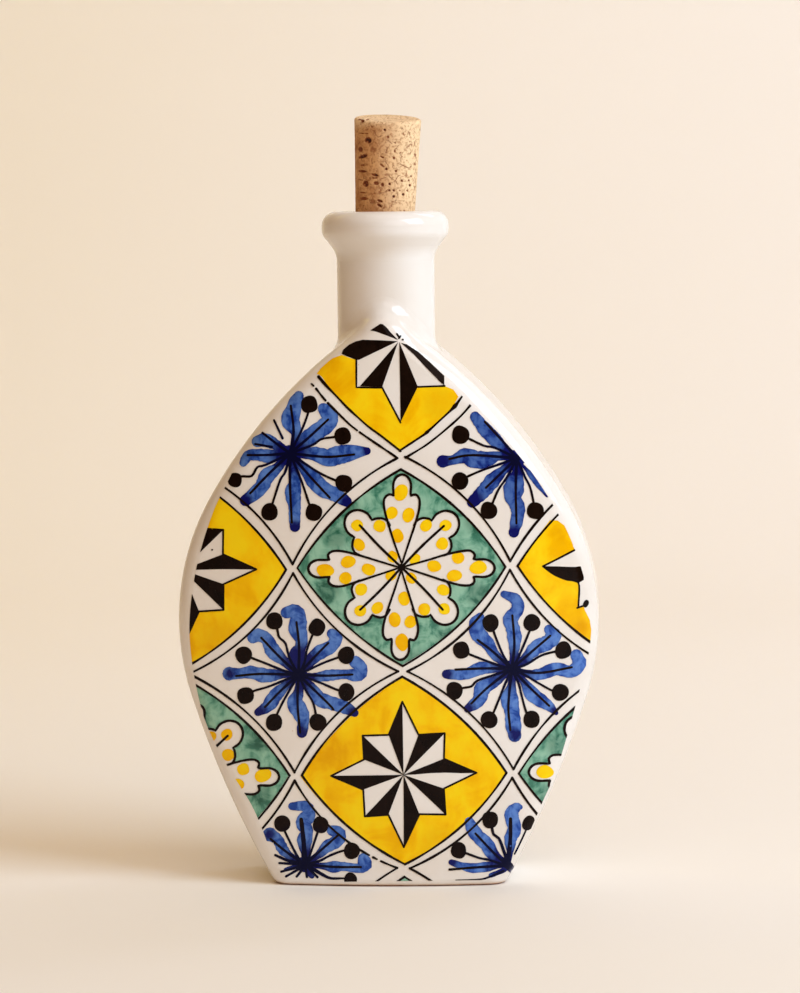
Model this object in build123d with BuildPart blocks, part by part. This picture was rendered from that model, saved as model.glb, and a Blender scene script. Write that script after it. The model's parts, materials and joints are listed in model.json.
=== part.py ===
"""A flat ceramic flask with a rolled lip, and the tapered cork that stops it.

Millimetres. The base stands on Z = 0, the neck's axis is Z, X runs across the
wide faces and the front face looks along -Y.
"""
import math
import os

from build123d import *

QUARTER_TURN = 90.0

# Flask: outline of the wide faces, seen from the front
BODY_WIDTH = 138.0
BELLY_HEIGHT = 86.0
LIP_HEIGHT = 220.0
APEX_BELOW_LIP = 33.0
APEX_RADIUS = 12.0
FOOT_WIDTH = 76.0
SHOULDER_WIDTH_SHARE = 0.844
SHOULDER_RISE_SHARE = 0.4
HIP_WIDTH_SHARE = 0.944
HIP_HEIGHT_SHARE = 0.718

# Flask: depth, crown and rounded edges
BODY_DEPTH = 50.0
CROWN_ACROSS_RADIUS = 230.0
CROWN_UPRIGHT_RADIUS = 1350.0
PANEL_EDGE_RADIUS = 7.0
FOOT_EDGE_RADIUS = 2.6

# Flask: neck and rolled lip
NECK_DIAMETER = 32.0
NECK_FLARE_RADIUS = 8.0
NECK_FLARE_CLEARANCE = 4.0
LIP_DIAMETER = 41.6
LIP_BAND = 7.4
LIP_UNDERCUT = 6.2
LIP_THROAT_RADIUS = 8.0
LIP_TOP_ROUND_SHARE = 0.62
LIP_BELLY_ROUND_SHARE = 0.6

# Flask: walls, mouth and foot
WALL = 4.5
NECK_WALL = 4.5
FLOOR = 5.0
CAVITY_EDGE_RADIUS = 4.0
CAVITY_ARCH_SHARE = 0.92
MOUTH_ROUNDING = 2.2
MOUTH_DEPTH = 15.0
MOUTH_TAPER = 4.0
FOOT_RING_WIDTH = 7.0
FOOT_RECESS = 1.5
FOOT_RECESS_CORNER = 3.0

# Cork: it leans until its side lies along one side of the mouth
CORK_TOP_DIAMETER = 22.0
CORK_END_DIAMETER = 18.0
CORK_LENGTH = 48.0
CORK_SHOWING = 31.5
CORK_TOP_EDGE = 0.6
CORK_END_EDGE = 0.4
CORK_LEAN_ANGLE = 2.6
CORK_LEAN_HEADING = -22.0
CORK_GAP = 0.3

# Worked out from the sizes above
half_depth = BODY_DEPTH / 2
apex_height = LIP_HEIGHT - APEX_BELOW_LIP
crown_top = apex_height + NECK_FLARE_RADIUS + NECK_FLARE_CLEARANCE
neck_radius = NECK_DIAMETER / 2
lip_radius = LIP_DIAMETER / 2
throat_radius = neck_radius - NECK_WALL
lip_band_foot = LIP_HEIGHT - LIP_BAND
mouth_foot = LIP_HEIGHT - MOUTH_DEPTH
cork_seat_depth = CORK_SHOWING + MOUTH_ROUNDING
cork_taper = (CORK_TOP_DIAMETER - CORK_END_DIAMETER) / 2 / CORK_LENGTH
cork_seat_radius = CORK_TOP_DIAMETER / 2 - cork_seat_depth * cork_taper
mouth_radius = cork_seat_radius + CORK_GAP

os.makedirs("parts", exist_ok=True)


def outline_arcs():
    """Returns the right side's four tangent arcs, as seen from the front.

    Two run down from the belly to the foot, and two run up to the pointed arch.
    """
    belly = (BODY_WIDTH / 2, BELLY_HEIGHT)
    hip = (BODY_WIDTH / 2 * HIP_WIDTH_SHARE, BELLY_HEIGHT * HIP_HEIGHT_SHARE)
    foot = (FOOT_WIDTH / 2, 0)
    arch_rise = apex_height - BELLY_HEIGHT
    shoulder = (BODY_WIDTH / 2 * SHOULDER_WIDTH_SHARE, BELLY_HEIGHT + arch_rise * SHOULDER_RISE_SHARE)
    apex = (0, apex_height)
    hip_arc = TangentArc(belly, hip, tangent=(0, -1))
    flank_arc = TangentArc(hip, foot, tangent=hip_arc % 1)
    shoulder_arc = TangentArc(belly, shoulder, tangent=(0, 1))
    arch_arc = TangentArc(shoulder, apex, tangent=shoulder_arc % 1)
    return hip_arc, flank_arc, shoulder_arc, arch_arc


hip_arc, flank_arc, shoulder_arc, arch_arc = outline_arcs()


def behind_wall(arc, share):
    """Returns the point at a share of an outline arc, moved in square to it by the wall."""
    direction = arc % share
    turn = QUARTER_TURN if direction.Y > 0 else -QUARTER_TURN
    return arc @ share + direction.rotate(Axis.Z, turn) * WALL


def crown_barrel(inset):
    """Returns the space between the two crowned faces, moved in by a wall.

    Each wide face is part of a barrel whose axis stands upright behind it.
    """
    face_y = inset - half_depth
    axis_y = CROWN_ACROSS_RADIUS - half_depth
    bulge_radius = CROWN_UPRIGHT_RADIUS - inset
    top_y = face_y + bulge_radius - math.sqrt(bulge_radius**2 - (crown_top - BELLY_HEIGHT) ** 2)
    foot_y = face_y + bulge_radius - math.sqrt(bulge_radius**2 - BELLY_HEIGHT**2)
    with BuildPart() as barrel:
        with BuildSketch(Plane.YZ):
            with BuildLine():
                ThreePointArc((foot_y, 0), (face_y, BELLY_HEIGHT), (top_y, crown_top))
                Polyline((top_y, crown_top), (axis_y, crown_top), (axis_y, 0), (foot_y, 0))
            make_face()
        revolve(axis=Axis((0, axis_y, 0), (0, 0, 1)))
        back_barrel = mirror(barrel.part, about=Plane.XZ, mode=Mode.PRIVATE)
        add(back_barrel, mode=Mode.INTERSECT)
    return barrel.part


# Outside outline: the sides meet in a rounded, pointed arch
with BuildSketch(Plane.XZ) as outside_outline:
    with BuildLine():
        add([hip_arc, flank_arc, shoulder_arc, arch_arc])
        Line(flank_arc @ 1, (0, 0))
        mirror(about=Plane.YZ)
    make_face()
    fillet(vertices().sort_by(Axis.Y)[-1], APEX_RADIUS)

# Inside outline: the same arcs behind the wall, with the throat's place left flat
with BuildSketch(Plane.XZ) as inside_outline:
    foot_inside = behind_wall(flank_arc, 1)
    arch_inside = behind_wall(arch_arc, CAVITY_ARCH_SHARE)
    with BuildLine():
        for arc in (hip_arc, flank_arc, shoulder_arc):
            TangentArc(behind_wall(arc, 0), behind_wall(arc, 1), tangent=arc % 0)
        TangentArc(behind_wall(arch_arc, 0), arch_inside, tangent=arch_arc % 0)
        Polyline(foot_inside, (foot_inside.X, 0), (0, 0))
        Line(arch_inside, (0, arch_inside.Y))
        mirror(about=Plane.YZ)
    make_face()

# Cavity: the inside outline between crowned walls, standing on a floor
with BuildPart() as cavity:
    extrude(inside_outline.sketch, amount=half_depth, both=True)
    add(crown_barrel(WALL), mode=Mode.INTERSECT)
    split(bisect_by=Plane.XY.offset(FOOT_RECESS + FLOOR), keep=Keep.TOP)
    fillet(edges(), CAVITY_EDGE_RADIUS)

# Bore: a short ring that grips the cork, opening into the wider throat
with BuildPart() as bore:
    with BuildSketch(Plane.XZ):
        with BuildLine():
            Polyline(
                (0, BELLY_HEIGHT),
                (throat_radius, BELLY_HEIGHT),
                (throat_radius, mouth_foot - MOUTH_TAPER),
                (mouth_radius, mouth_foot),
                (mouth_radius, LIP_HEIGHT + MOUTH_DEPTH),
                (0, LIP_HEIGHT + MOUTH_DEPTH),
                close=True,
            )
        make_face()
    revolve(axis=Axis.Z)

# Hollow: cavity and bore as one space
with BuildPart() as hollow:
    add(cavity.part)
    add(bore.part)

# Neck and lip: one turned profile, from inside the shoulders to the crest
with BuildPart() as neck:
    with BuildSketch(Plane.XZ):
        with BuildLine():
            FilletPolyline(
                (neck_radius, BELLY_HEIGHT),
                (neck_radius, lip_band_foot - LIP_UNDERCUT),
                (lip_radius, lip_band_foot),
                (lip_radius, LIP_HEIGHT),
                (0, LIP_HEIGHT),
                radius=[
                    LIP_THROAT_RADIUS,
                    LIP_BAND * LIP_BELLY_ROUND_SHARE,
                    LIP_BAND * LIP_TOP_ROUND_SHARE,
                ],
            )
            Polyline((0, LIP_HEIGHT), (0, BELLY_HEIGHT), (neck_radius, BELLY_HEIGHT))
        make_face()
    revolve(axis=Axis.Z)

# Foot recess: leaves a flat ring to stand on, following the faces' crown
with BuildPart() as foot_recess:
    with BuildSketch():
        Rectangle(FOOT_WIDTH - 2 * FOOT_RING_WIDTH, BODY_DEPTH)
    extrude(amount=FOOT_RECESS)
    add(crown_barrel(FOOT_RING_WIDTH), mode=Mode.INTERSECT)
    upright_corners = edges().group_by(Axis.Z)[1]
    fillet(upright_corners, FOOT_RECESS_CORNER)

# Flask: crowned slab with a flared neck, hollowed out and cut under the foot
with BuildPart() as bottle_body:
    extrude(outside_outline.sketch, amount=BODY_DEPTH, both=True)
    with BuildSketch(Plane.XY.offset(BELLY_HEIGHT)):
        Circle(neck_radius)
    extrude(amount=crown_top - BELLY_HEIGHT)
    shoulder_joint = edges().filter_by(GeomType.BSPLINE)
    fillet(shoulder_joint, NECK_FLARE_RADIUS)
    add(crown_barrel(0), mode=Mode.INTERSECT)
    front_to_back = faces().sort_by(Axis.Y)
    base_edges = edges().group_by(Axis.Z)[0]
    panel_edges = [
        edge
        for panel in (front_to_back[0], front_to_back[-1])
        for edge in panel.edges()
        if edge not in base_edges
    ]
    fillet(panel_edges, PANEL_EDGE_RADIUS)
    fillet(edges().group_by(Axis.Z)[0], FOOT_EDGE_RADIUS)
    add(neck.part)
    add(hollow.part, mode=Mode.SUBTRACT)
    crest_rings = edges().filter_by(GeomType.CIRCLE).group_by(Axis.Z)[-1]
    fillet(crest_rings.sort_by(SortBy.RADIUS)[0], MOUTH_ROUNDING)
    add(foot_recess.part, mode=Mode.SUBTRACT)

bottle_body.part.label = "bottle_body"
export_step(bottle_body.part, "parts/bottle_body.step")

# Cork: a tapered plug with worn edges, leaning in the mouth
lean = math.radians(CORK_LEAN_ANGLE)
heading = math.radians(CORK_LEAN_HEADING)
cork_axis = (
    math.sin(lean) * math.cos(heading),
    math.sin(lean) * math.sin(heading),
    math.cos(lean),
)
cork_seat = Plane(origin=(0, 0, LIP_HEIGHT - MOUTH_ROUNDING), z_dir=cork_axis)
with BuildPart(cork_seat.offset(cork_seat_depth - CORK_LENGTH)) as cork_stopper:
    Cone(
        CORK_END_DIAMETER / 2,
        CORK_TOP_DIAMETER / 2,
        CORK_LENGTH,
        align=(Align.CENTER, Align.CENTER, Align.MIN),
    )
    rims = edges().filter_by(GeomType.CIRCLE).sort_by(Axis.Z)
    fillet(rims[-1], CORK_TOP_EDGE)
    chamfer(rims[0], CORK_END_EDGE)

cork_stopper.part.label = "cork_stopper"
export_step(cork_stopper.part, "parts/cork_stopper.step")

print("hollow inside, cubic mm:", round(hollow.part.volume))
print("cork axis:", [round(value, 5) for value in cork_axis])
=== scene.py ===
"""Dresses a painted ceramic flask and its cork, and sets up a small studio around them.

Everything in the scene is in metres. The painting is laid out in millimetres on a drawing
plane, which stands upright through the flask's axis, and is carried onto the glaze along
straight lines from the painter's eye. So a shape on the plane looks the same from there.
"""

import json
import logging
import math
import random
from collections.abc import Iterable, Sequence
from dataclasses import dataclass, field
from enum import Enum

import bpy
import numpy as np
from mathutils import Matrix, Vector, noise
from mathutils.bvhtree import BVHTree
from mathutils.geometry import delaunay_2d_cdt
from mathutils.interpolate import poly_3d_calc

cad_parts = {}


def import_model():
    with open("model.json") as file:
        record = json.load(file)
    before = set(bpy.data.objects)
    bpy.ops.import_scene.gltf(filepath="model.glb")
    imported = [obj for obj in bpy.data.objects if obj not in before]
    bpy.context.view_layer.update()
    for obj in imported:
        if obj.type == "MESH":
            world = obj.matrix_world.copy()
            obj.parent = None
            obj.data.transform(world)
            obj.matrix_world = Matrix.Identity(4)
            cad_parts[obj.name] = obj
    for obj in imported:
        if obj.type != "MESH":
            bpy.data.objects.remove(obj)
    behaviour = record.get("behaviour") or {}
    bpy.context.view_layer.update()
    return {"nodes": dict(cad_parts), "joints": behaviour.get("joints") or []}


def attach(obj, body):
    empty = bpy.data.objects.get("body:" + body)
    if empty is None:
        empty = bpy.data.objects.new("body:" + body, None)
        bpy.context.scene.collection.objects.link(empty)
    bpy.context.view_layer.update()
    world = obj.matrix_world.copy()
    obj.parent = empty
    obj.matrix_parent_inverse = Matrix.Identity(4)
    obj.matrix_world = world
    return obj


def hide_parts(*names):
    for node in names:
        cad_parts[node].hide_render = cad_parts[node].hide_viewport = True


log = logging.getLogger("painted_flask")

# A touch is a place and the mark's width there. A pool is a centre, a reach and a depth.
Point = tuple[float, float]
Points = tuple[Point, ...]
Range = tuple[float, float]
Touch = tuple[float, float, float]
Outline = list[Point]
Colour = tuple[float, float, float, float]
Pool = tuple[Point, float, float]
Socket = bpy.types.NodeSocket

MM = 0.001
FULL_TURN = 2 * math.pi
MIX_SHARE, MIX_FIRST, MIX_SECOND, MIX_RESULT = 0, 6, 7, 2
NOISE_MIDDLE = 0.5


def tone(red: int, green: int, blue: int) -> Colour:
    """Turns a colour as a screen shows it into the light values that a shader takes.

    Args:
        red: Red, from 0 to 255.
        green: Green, from 0 to 255.
        blue: Blue, from 0 to 255.

    Returns:
        The linear colour, opaque.
    """
    knee, slope, offset, power = 0.04045, 12.92, 0.055, 2.4
    linear = []
    for level in (red / 255, green / 255, blue / 255):
        if level <= knee:
            linear.append(level / slope)
        else:
            linear.append(((level + offset) / (1 + offset)) ** power)
    return (linear[0], linear[1], linear[2], 1.0)


def blend_step(value: float, low: float, high: float) -> float:
    """Rises smoothly from 0 at a low value to 1 at a high one."""
    share = min(max((value - low) / (high - low), 0.0), 1.0)
    return share * share * (3 - 2 * share)


class FinishSheet:
    """A material's node tree, with short calls that add nodes and join them."""

    def __init__(self, name: str) -> None:
        """Starts a material that holds only its shader and its output.

        Args:
            name: The material's name.
        """
        self.material = bpy.data.materials.new(name)
        self.material.use_nodes = True
        self.tree = self.material.node_tree
        self.tree.nodes.clear()
        self.shader = self.add("ShaderNodeBsdfPrincipled")
        self.output = self.add("ShaderNodeOutputMaterial")
        self.join(self.shader.outputs["BSDF"], self.output.inputs["Surface"])
        self.place = self.add("ShaderNodeTexCoord").outputs["Object"]

    def add(self, kind: str, **settings: object) -> bpy.types.Node:
        """Adds a node.

        Args:
            kind: The node's type.
            settings: Values for the node's own properties.

        Returns:
            The new node.
        """
        node = self.tree.nodes.new(kind)
        for key, value in settings.items():
            setattr(node, key, value)
        return node

    def join(self, source: Socket, target: Socket) -> None:
        """Joins an output to an input."""
        self.tree.links.new(source, target)

    def feed(self, target: Socket, value: object) -> None:
        """Gives an input its value.

        Args:
            target: The input.
            value: A number, a colour or another node's output.
        """
        if isinstance(value, Socket):
            self.join(value, target)
        else:
            target.default_value = value

    def set(self, **values: object) -> None:
        """Sets or feeds sockets of the shader, with underscores for spaces."""
        for key, value in values.items():
            self.feed(self.shader.inputs[key.replace("_", " ")], value)

    def squeezed(self, upright: float) -> Socket:
        """Scales the object's place along Z, for upright streaks.

        Args:
            upright: The scale.

        Returns:
            The scaled place.
        """
        node = self.add("ShaderNodeMapping")
        self.join(self.place, node.inputs["Vector"])
        node.inputs["Scale"].default_value = (1.0, 1.0, upright)
        return node.outputs["Vector"]

    def grain(
        self,
        size: float,
        detail: float = 2.0,
        rough: float = 0.5,
        twist: float = 0.0,
        place: Socket | None = None,
    ) -> Socket:
        """Adds cloudy noise.

        Args:
            size: The width of one cloud, in metres.
            detail: How many finer layers lie on it.
            rough: How strong the finer layers are.
            twist: How far the clouds are bent.
            place: Where the noise is read, if not at the object's own place.

        Returns:
            A value around 0.5.
        """
        node = self.add("ShaderNodeTexNoise")
        self.join(place or self.place, node.inputs["Vector"])
        node.inputs["Scale"].default_value = 1 / size
        node.inputs["Detail"].default_value = detail
        node.inputs["Roughness"].default_value = rough
        node.inputs["Distortion"].default_value = twist
        return node.outputs["Fac"]

    def cells(
        self, size: float, feature: str = "F1", place: Socket | None = None
    ) -> Socket:
        """Adds a pattern of cells and gives the distance inside each.

        Args:
            size: The width of one cell, in metres.
            feature: Which distance is read.
            place: Where the pattern is read, if not at the object's own place.

        Returns:
            The distance.
        """
        node = self.add("ShaderNodeTexVoronoi", feature=feature)
        self.join(place or self.place, node.inputs["Vector"])
        node.inputs["Scale"].default_value = 1 / size
        return node.outputs["Distance"]

    def sum(self, kind: str, first: object, second: object) -> Socket:
        """Adds a sum of two values.

        Args:
            kind: The sum, such as ADD, MULTIPLY or MAXIMUM.
            first: The first value.
            second: The second value.

        Returns:
            The result.
        """
        node = self.add("ShaderNodeMath", operation=kind)
        self.feed(node.inputs[0], first)
        self.feed(node.inputs[1], second)
        return node.outputs[0]

    def fade(self, value: object, low: float, high: float) -> Socket:
        """Rises smoothly from 0 to 1 between two values, or falls if low is the larger.

        Args:
            value: What is read.
            low: Where the share is 0.
            high: Where the share is 1.

        Returns:
            The share.
        """
        node = self.add("ShaderNodeMapRange", interpolation_type="SMOOTHSTEP")
        self.feed(node.inputs["Value"], value)
        node.inputs["From Min"].default_value = min(low, high)
        node.inputs["From Max"].default_value = max(low, high)
        node.inputs["To Min"].default_value = 0.0 if low < high else 1.0
        node.inputs["To Max"].default_value = 1.0 if low < high else 0.0
        return node.outputs["Result"]

    def mix(self, share: object, first: object, second: object) -> Socket:
        """Mixes two colours.

        Args:
            share: How much of the second colour shows.
            first: The first colour.
            second: The second colour.

        Returns:
            The mixed colour.
        """
        node = self.add("ShaderNodeMix", data_type="RGBA")
        self.feed(node.inputs[MIX_SHARE], share)
        self.feed(node.inputs[MIX_FIRST], first)
        self.feed(node.inputs[MIX_SECOND], second)
        return node.outputs[MIX_RESULT]

    def relief(
        self,
        height: Socket,
        depth: float,
        strength: float = 1.0,
        under: Socket | None = None,
    ) -> Socket:
        """Adds a bump.

        Args:
            height: The value that stands for height.
            depth: The height of a full step, in metres.
            strength: How much of it shows.
            under: A bump that lies under this one.

        Returns:
            The bent normal.
        """
        node = self.add("ShaderNodeBump")
        node.inputs["Strength"].default_value = strength
        node.inputs["Distance"].default_value = depth
        self.join(height, node.inputs["Height"])
        if under is not None:
            self.join(under, node.inputs["Normal"])
        return node.outputs["Normal"]


@dataclass(frozen=True)
class GlazeSkin:
    """The clear, glossy skin that lies over the white clay and the painting alike."""

    roughness: float = 0.07
    refraction: float = 1.5
    wave_size: float = 22 * MM
    wave_depth: float = 0.16 * MM
    peel_size: float = 2.6 * MM
    peel_depth: float = 0.012 * MM

    def dress(self, sheet: FinishSheet) -> None:
        """Gives a sheet's shader the glaze's gloss and its slow waves.

        Args:
            sheet: The sheet of the material that lies under the glaze.
        """
        waves = sheet.relief(sheet.grain(self.wave_size, detail=1.0), self.wave_depth)
        peel = sheet.relief(sheet.grain(self.peel_size, detail=1.0), self.peel_depth, under=waves)
        sheet.set(Roughness=self.roughness, IOR=self.refraction, Normal=peel)


@dataclass(frozen=True)
class WhiteGlaze:
    """White tin glaze on the flask, thin in small specks and just above the foot, and missing under the
    foot.
    """

    skin: GlazeSkin = GlazeSkin()
    white: Colour = tone(238, 234, 230)
    cream: Colour = tone(231, 224, 216)
    thin: Colour = tone(214, 190, 166)
    clay: Colour = tone(176, 120, 84)
    clay_dark: Colour = tone(128, 78, 50)
    bare_height: float = 0.45 * MM
    bare_slip: float = 0.5 * MM
    bare_fade: float = 0.1 * MM
    thin_height: float = 1.3 * MM
    wander_size: float = 8 * MM
    cloud_size: float = 38 * MM
    cloud_rise: Range = (0.35, 0.75)
    speck_spacing: float = 9 * MM
    speck_radius_share: float = 0.028
    clay_grain: float = 0.7 * MM
    clay_rise: Range = (0.4, 0.65)
    clay_roughness: float = 0.85

    def material(self) -> bpy.types.Material:
        """Builds the material.

        Returns:
            The glaze, with the bare clay ring below it.
        """
        sheet = FinishSheet("white_tin_glaze")
        self.skin.dress(sheet)
        clouds = sheet.fade(sheet.grain(self.cloud_size, detail=3.0), *self.cloud_rise)
        colour = sheet.mix(clouds, self.white, self.cream)
        speck = self.speck_radius_share
        specks = sheet.fade(sheet.cells(self.speck_spacing), speck, speck / 2)
        colour = sheet.mix(specks, colour, self.thin)
        split = sheet.add("ShaderNodeSeparateXYZ")
        sheet.join(sheet.place, split.inputs[0])
        wander = sheet.sum("MULTIPLY", sheet.grain(self.wander_size, detail=3.0), self.bare_slip)
        height = sheet.sum("ADD", split.outputs["Z"], wander)
        thinning = sheet.fade(height, self.thin_height + self.bare_slip, self.bare_height)
        colour = sheet.mix(thinning, colour, self.thin)
        crumbs = sheet.grain(self.clay_grain, detail=4.0, rough=0.7)
        bare_clay = sheet.mix(sheet.fade(crumbs, *self.clay_rise), self.clay, self.clay_dark)
        bare_foot = self.bare_height + self.bare_slip / 2
        bare = sheet.fade(height, bare_foot + self.bare_fade, bare_foot)
        colour = sheet.mix(bare, colour, bare_clay)
        rough = sheet.add("ShaderNodeMapRange")
        sheet.join(bare, rough.inputs["Value"])
        rough.inputs["To Min"].default_value = self.skin.roughness
        rough.inputs["To Max"].default_value = self.clay_roughness
        sheet.set(Base_Color=colour, Roughness=rough.outputs["Result"])
        return sheet.material


@dataclass(frozen=True)
class PigmentFinish:
    """One ceramic colour under the glaze: a wash that pools, or a dense line."""

    name: str
    pale: Colour
    body: Colour
    deep: Colour
    cloud_size: float
    streak_size: float
    pooling: float
    spread: float = 0.3
    blotches: float = 0.3
    gloss: float = 0.5
    cloud_share: float = 0.65
    streak_squeeze: float = 0.35
    skin: GlazeSkin = GlazeSkin()

    def material(self) -> bpy.types.Material:
        """Builds the material.

        The film's own ink value says how much colour lies at each place.

        Returns:
            The wash or line as it shows through the glaze.
        """
        sheet = FinishSheet(self.name)
        self.skin.dress(sheet)
        clouds = sheet.grain(self.cloud_size, detail=4.0, rough=0.6, twist=0.6)
        place = sheet.squeezed(self.streak_squeeze)
        streaks = sheet.grain(self.streak_size, detail=2.0, place=place)
        cloudy = sheet.sum("MULTIPLY", clouds, self.cloud_share)
        streaky = sheet.sum("MULTIPLY", streaks, 1 - self.cloud_share)
        patches = sheet.sum("ADD", cloudy, streaky)
        high = NOISE_MIDDLE + self.spread / 2
        thickness = sheet.fade(patches, NOISE_MIDDLE - self.spread / 2, high)
        colour = sheet.mix(thickness, self.pale, self.body)
        ink = sheet.add("ShaderNodeAttribute", attribute_name="ink").outputs["Fac"]
        pooled = sheet.sum("MULTIPLY", ink, self.pooling)
        uneven = sheet.sum("MULTIPLY", sheet.fade(patches, NOISE_MIDDLE, high), self.blotches)
        share = sheet.sum("MINIMUM", sheet.sum("ADD", pooled, uneven), 1.0)
        colour = sheet.mix(share, colour, self.deep)
        sheet.set(Base_Color=colour, Specular_IOR_Level=self.gloss)
        return sheet.material


@dataclass(frozen=True)
class CorkFinish:
    """Pressed cork: pale grains, brown seams, dark pores and long brown lenticels, with painted light on its
    right side and top.
    """

    pale: Colour = tone(220, 168, 112)
    body: Colour = tone(190, 132, 80)
    brown: Colour = tone(162, 98, 48)
    seam: Colour = tone(142, 74, 26)
    lens: Colour = tone(134, 66, 22)
    pore: Colour = tone(58, 20, 6)
    # Painted light: the cork's right side and its top are mixed towards this pale tone between these places,
    # as if lit by the lamp.
    painted_light_tone: Colour = tone(252, 222, 178)
    lit_side_from: float = -4 * MM
    lit_side_to: float = 11.0 * MM
    lit_top_from: float = 246.5 * MM
    lit_top_to: float = 250.6 * MM
    painted_light_share: float = 0.85
    bend_size: float = 3 * MM
    bend_reach: float = 1.6 * MM
    grain_size: float = 4.2 * MM
    grain_rise: Range = (0.32, 0.68)
    crumb_size: float = 0.9 * MM
    crumb_rise: Range = (0.48, 0.66)
    crumb_share: float = 0.58
    crumb_height: float = 0.12 * MM
    seam_width: float = 0.055
    seam_gap_size: float = 2.2 * MM
    seam_gap_rise: Range = (0.48, 0.6)
    seam_share: float = 0.75
    seam_height: float = -0.15 * MM
    lens_rise: Range = (0.05, 0.6)
    pore_rise: Range = (0.55, 1.05)
    roughness: float = 0.82

    def material(self) -> bpy.types.Material:
        """Builds the material.

        Returns:
            The cork, whose darkest places follow the pits in its mesh.
        """
        sheet = FinishSheet("pressed_cork")
        bend = sheet.add("ShaderNodeVectorMath", operation="ADD")
        wander = sheet.add("ShaderNodeTexNoise")
        sheet.join(sheet.place, wander.inputs["Vector"])
        wander.inputs["Scale"].default_value = 1 / self.bend_size
        shift = sheet.add("ShaderNodeVectorMath", operation="SCALE")
        sheet.join(wander.outputs["Color"], shift.inputs[0])
        shift.inputs["Scale"].default_value = self.bend_reach
        sheet.join(sheet.place, bend.inputs[0])
        sheet.join(shift.outputs[0], bend.inputs[1])
        place = bend.outputs[0]
        grains = sheet.grain(self.grain_size, detail=4.0, rough=0.65, place=place)
        colour = sheet.mix(sheet.fade(grains, *self.grain_rise), self.pale, self.body)
        split = sheet.add("ShaderNodeSeparateXYZ")
        sheet.join(place, split.inputs[0])
        # Painted light: paler towards the cork's right side, which faces the window lamp, and towards its
        # top.
        aside = sheet.fade(split.outputs["X"], self.lit_side_from, self.lit_side_to)
        lit_top = sheet.fade(split.outputs["Z"], self.lit_top_from, self.lit_top_to)
        painted_light = sheet.sum("MULTIPLY", sheet.sum("MAXIMUM", aside, lit_top), self.painted_light_share)
        colour = sheet.mix(painted_light, colour, self.painted_light_tone)
        crumbs = sheet.grain(self.crumb_size, detail=3.0, rough=0.7, place=place)
        crumbs = sheet.fade(crumbs, *self.crumb_rise)
        colour = sheet.mix(sheet.sum("MULTIPLY", crumbs, self.crumb_share), colour, self.brown)
        seams = sheet.cells(self.grain_size, "DISTANCE_TO_EDGE", place)
        seams = sheet.fade(seams, self.seam_width, 0.0)
        broken = sheet.fade(sheet.grain(self.seam_gap_size, detail=2.0), *self.seam_gap_rise)
        seams = sheet.sum("MULTIPLY", seams, broken)
        colour = sheet.mix(sheet.sum("MULTIPLY", seams, self.seam_share), colour, self.seam)
        pit = sheet.add("ShaderNodeAttribute", attribute_name="pit").outputs["Fac"]
        colour = sheet.mix(sheet.fade(pit, *self.lens_rise), colour, self.lens)
        colour = sheet.mix(sheet.fade(pit, *self.pore_rise), colour, self.pore)
        bumps = sheet.relief(crumbs, self.crumb_height)
        bumps = sheet.relief(seams, self.seam_height, under=bumps)
        sheet.set(Base_Color=colour, Roughness=self.roughness, Normal=bumps)
        return sheet.material


@dataclass(frozen=True)
class PaperFinish:
    """Matt cream paper for the floor and the sweep behind it."""

    cream: Colour = tone(246, 241, 234)
    warm: Colour = tone(244, 238, 229)
    cloud_size: float = 0.9
    cloud_rise: Range = (0.3, 0.7)
    roughness: float = 0.9

    def material(self) -> bpy.types.Material:
        """Builds the material.

        Returns:
            The paper.
        """
        sheet = FinishSheet("cream_paper")
        clouds = sheet.fade(sheet.grain(self.cloud_size), *self.cloud_rise)
        colour = sheet.mix(clouds, self.cream, self.warm)
        sheet.set(Base_Color=colour, Roughness=self.roughness)
        return sheet.material


class Pigment(Enum):
    """The colours on the painter's table, from the first laid down to the last."""

    YELLOW = "yellow_wash"
    GREEN = "green_wash"
    BLUE = "blue_wash"
    BLACK = "black_line"

    @property
    def lift(self) -> float:
        """How far the colour's film stands off the clay, in metres."""
        height = {Pigment.YELLOW: 0.10, Pigment.GREEN: 0.10, Pigment.BLUE: 0.13, Pigment.BLACK: 0.16}
        return height[self] * MM

    @property
    def rim_ink(self) -> float:
        """How much more of the colour gathers along the rim of a mark, as a share."""
        return {Pigment.BLUE: 0.3, Pigment.BLACK: 0.0}.get(self, 0.22)

    @property
    def overlap_ink(self) -> float:
        """How much deeper the colour looks where two marks overlap, as a share."""
        return 0.0 if self is Pigment.BLACK else 0.3

    @property
    def finish(self) -> PigmentFinish:
        """Chooses the colour's finish.

        Returns:
            How the colour looks under the glaze.
        """
        return {
            Pigment.YELLOW: PigmentFinish(
                "yellow_under_glaze", tone(252, 216, 20), tone(250, 191, 0), tone(222, 150, 0),
                cloud_size=12 * MM, streak_size=6 * MM, pooling=0.75, blotches=0.25, gloss=0.1,
            ),
            Pigment.GREEN: PigmentFinish(
                "green_under_glaze", tone(144, 194, 170), tone(72, 144, 121), tone(12, 82, 64),
                cloud_size=6 * MM, streak_size=3.6 * MM, pooling=0.85, spread=0.22, blotches=0.5,
            ),
            Pigment.BLUE: PigmentFinish(
                "blue_under_glaze", tone(92, 134, 208), tone(34, 80, 172), tone(0, 10, 92),
                cloud_size=3.6 * MM, streak_size=2.6 * MM, pooling=1.0, spread=0.26, blotches=0.35,
                gloss=0.2,
            ),
            Pigment.BLACK: PigmentFinish(
                "black_under_glaze", tone(26, 12, 8), tone(8, 2, 2), tone(3, 6, 42),
                cloud_size=6 * MM, streak_size=2 * MM, pooling=1.0, spread=0.5, blotches=0.0,
                gloss=0.1,
            ),
        }[self]


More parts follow.
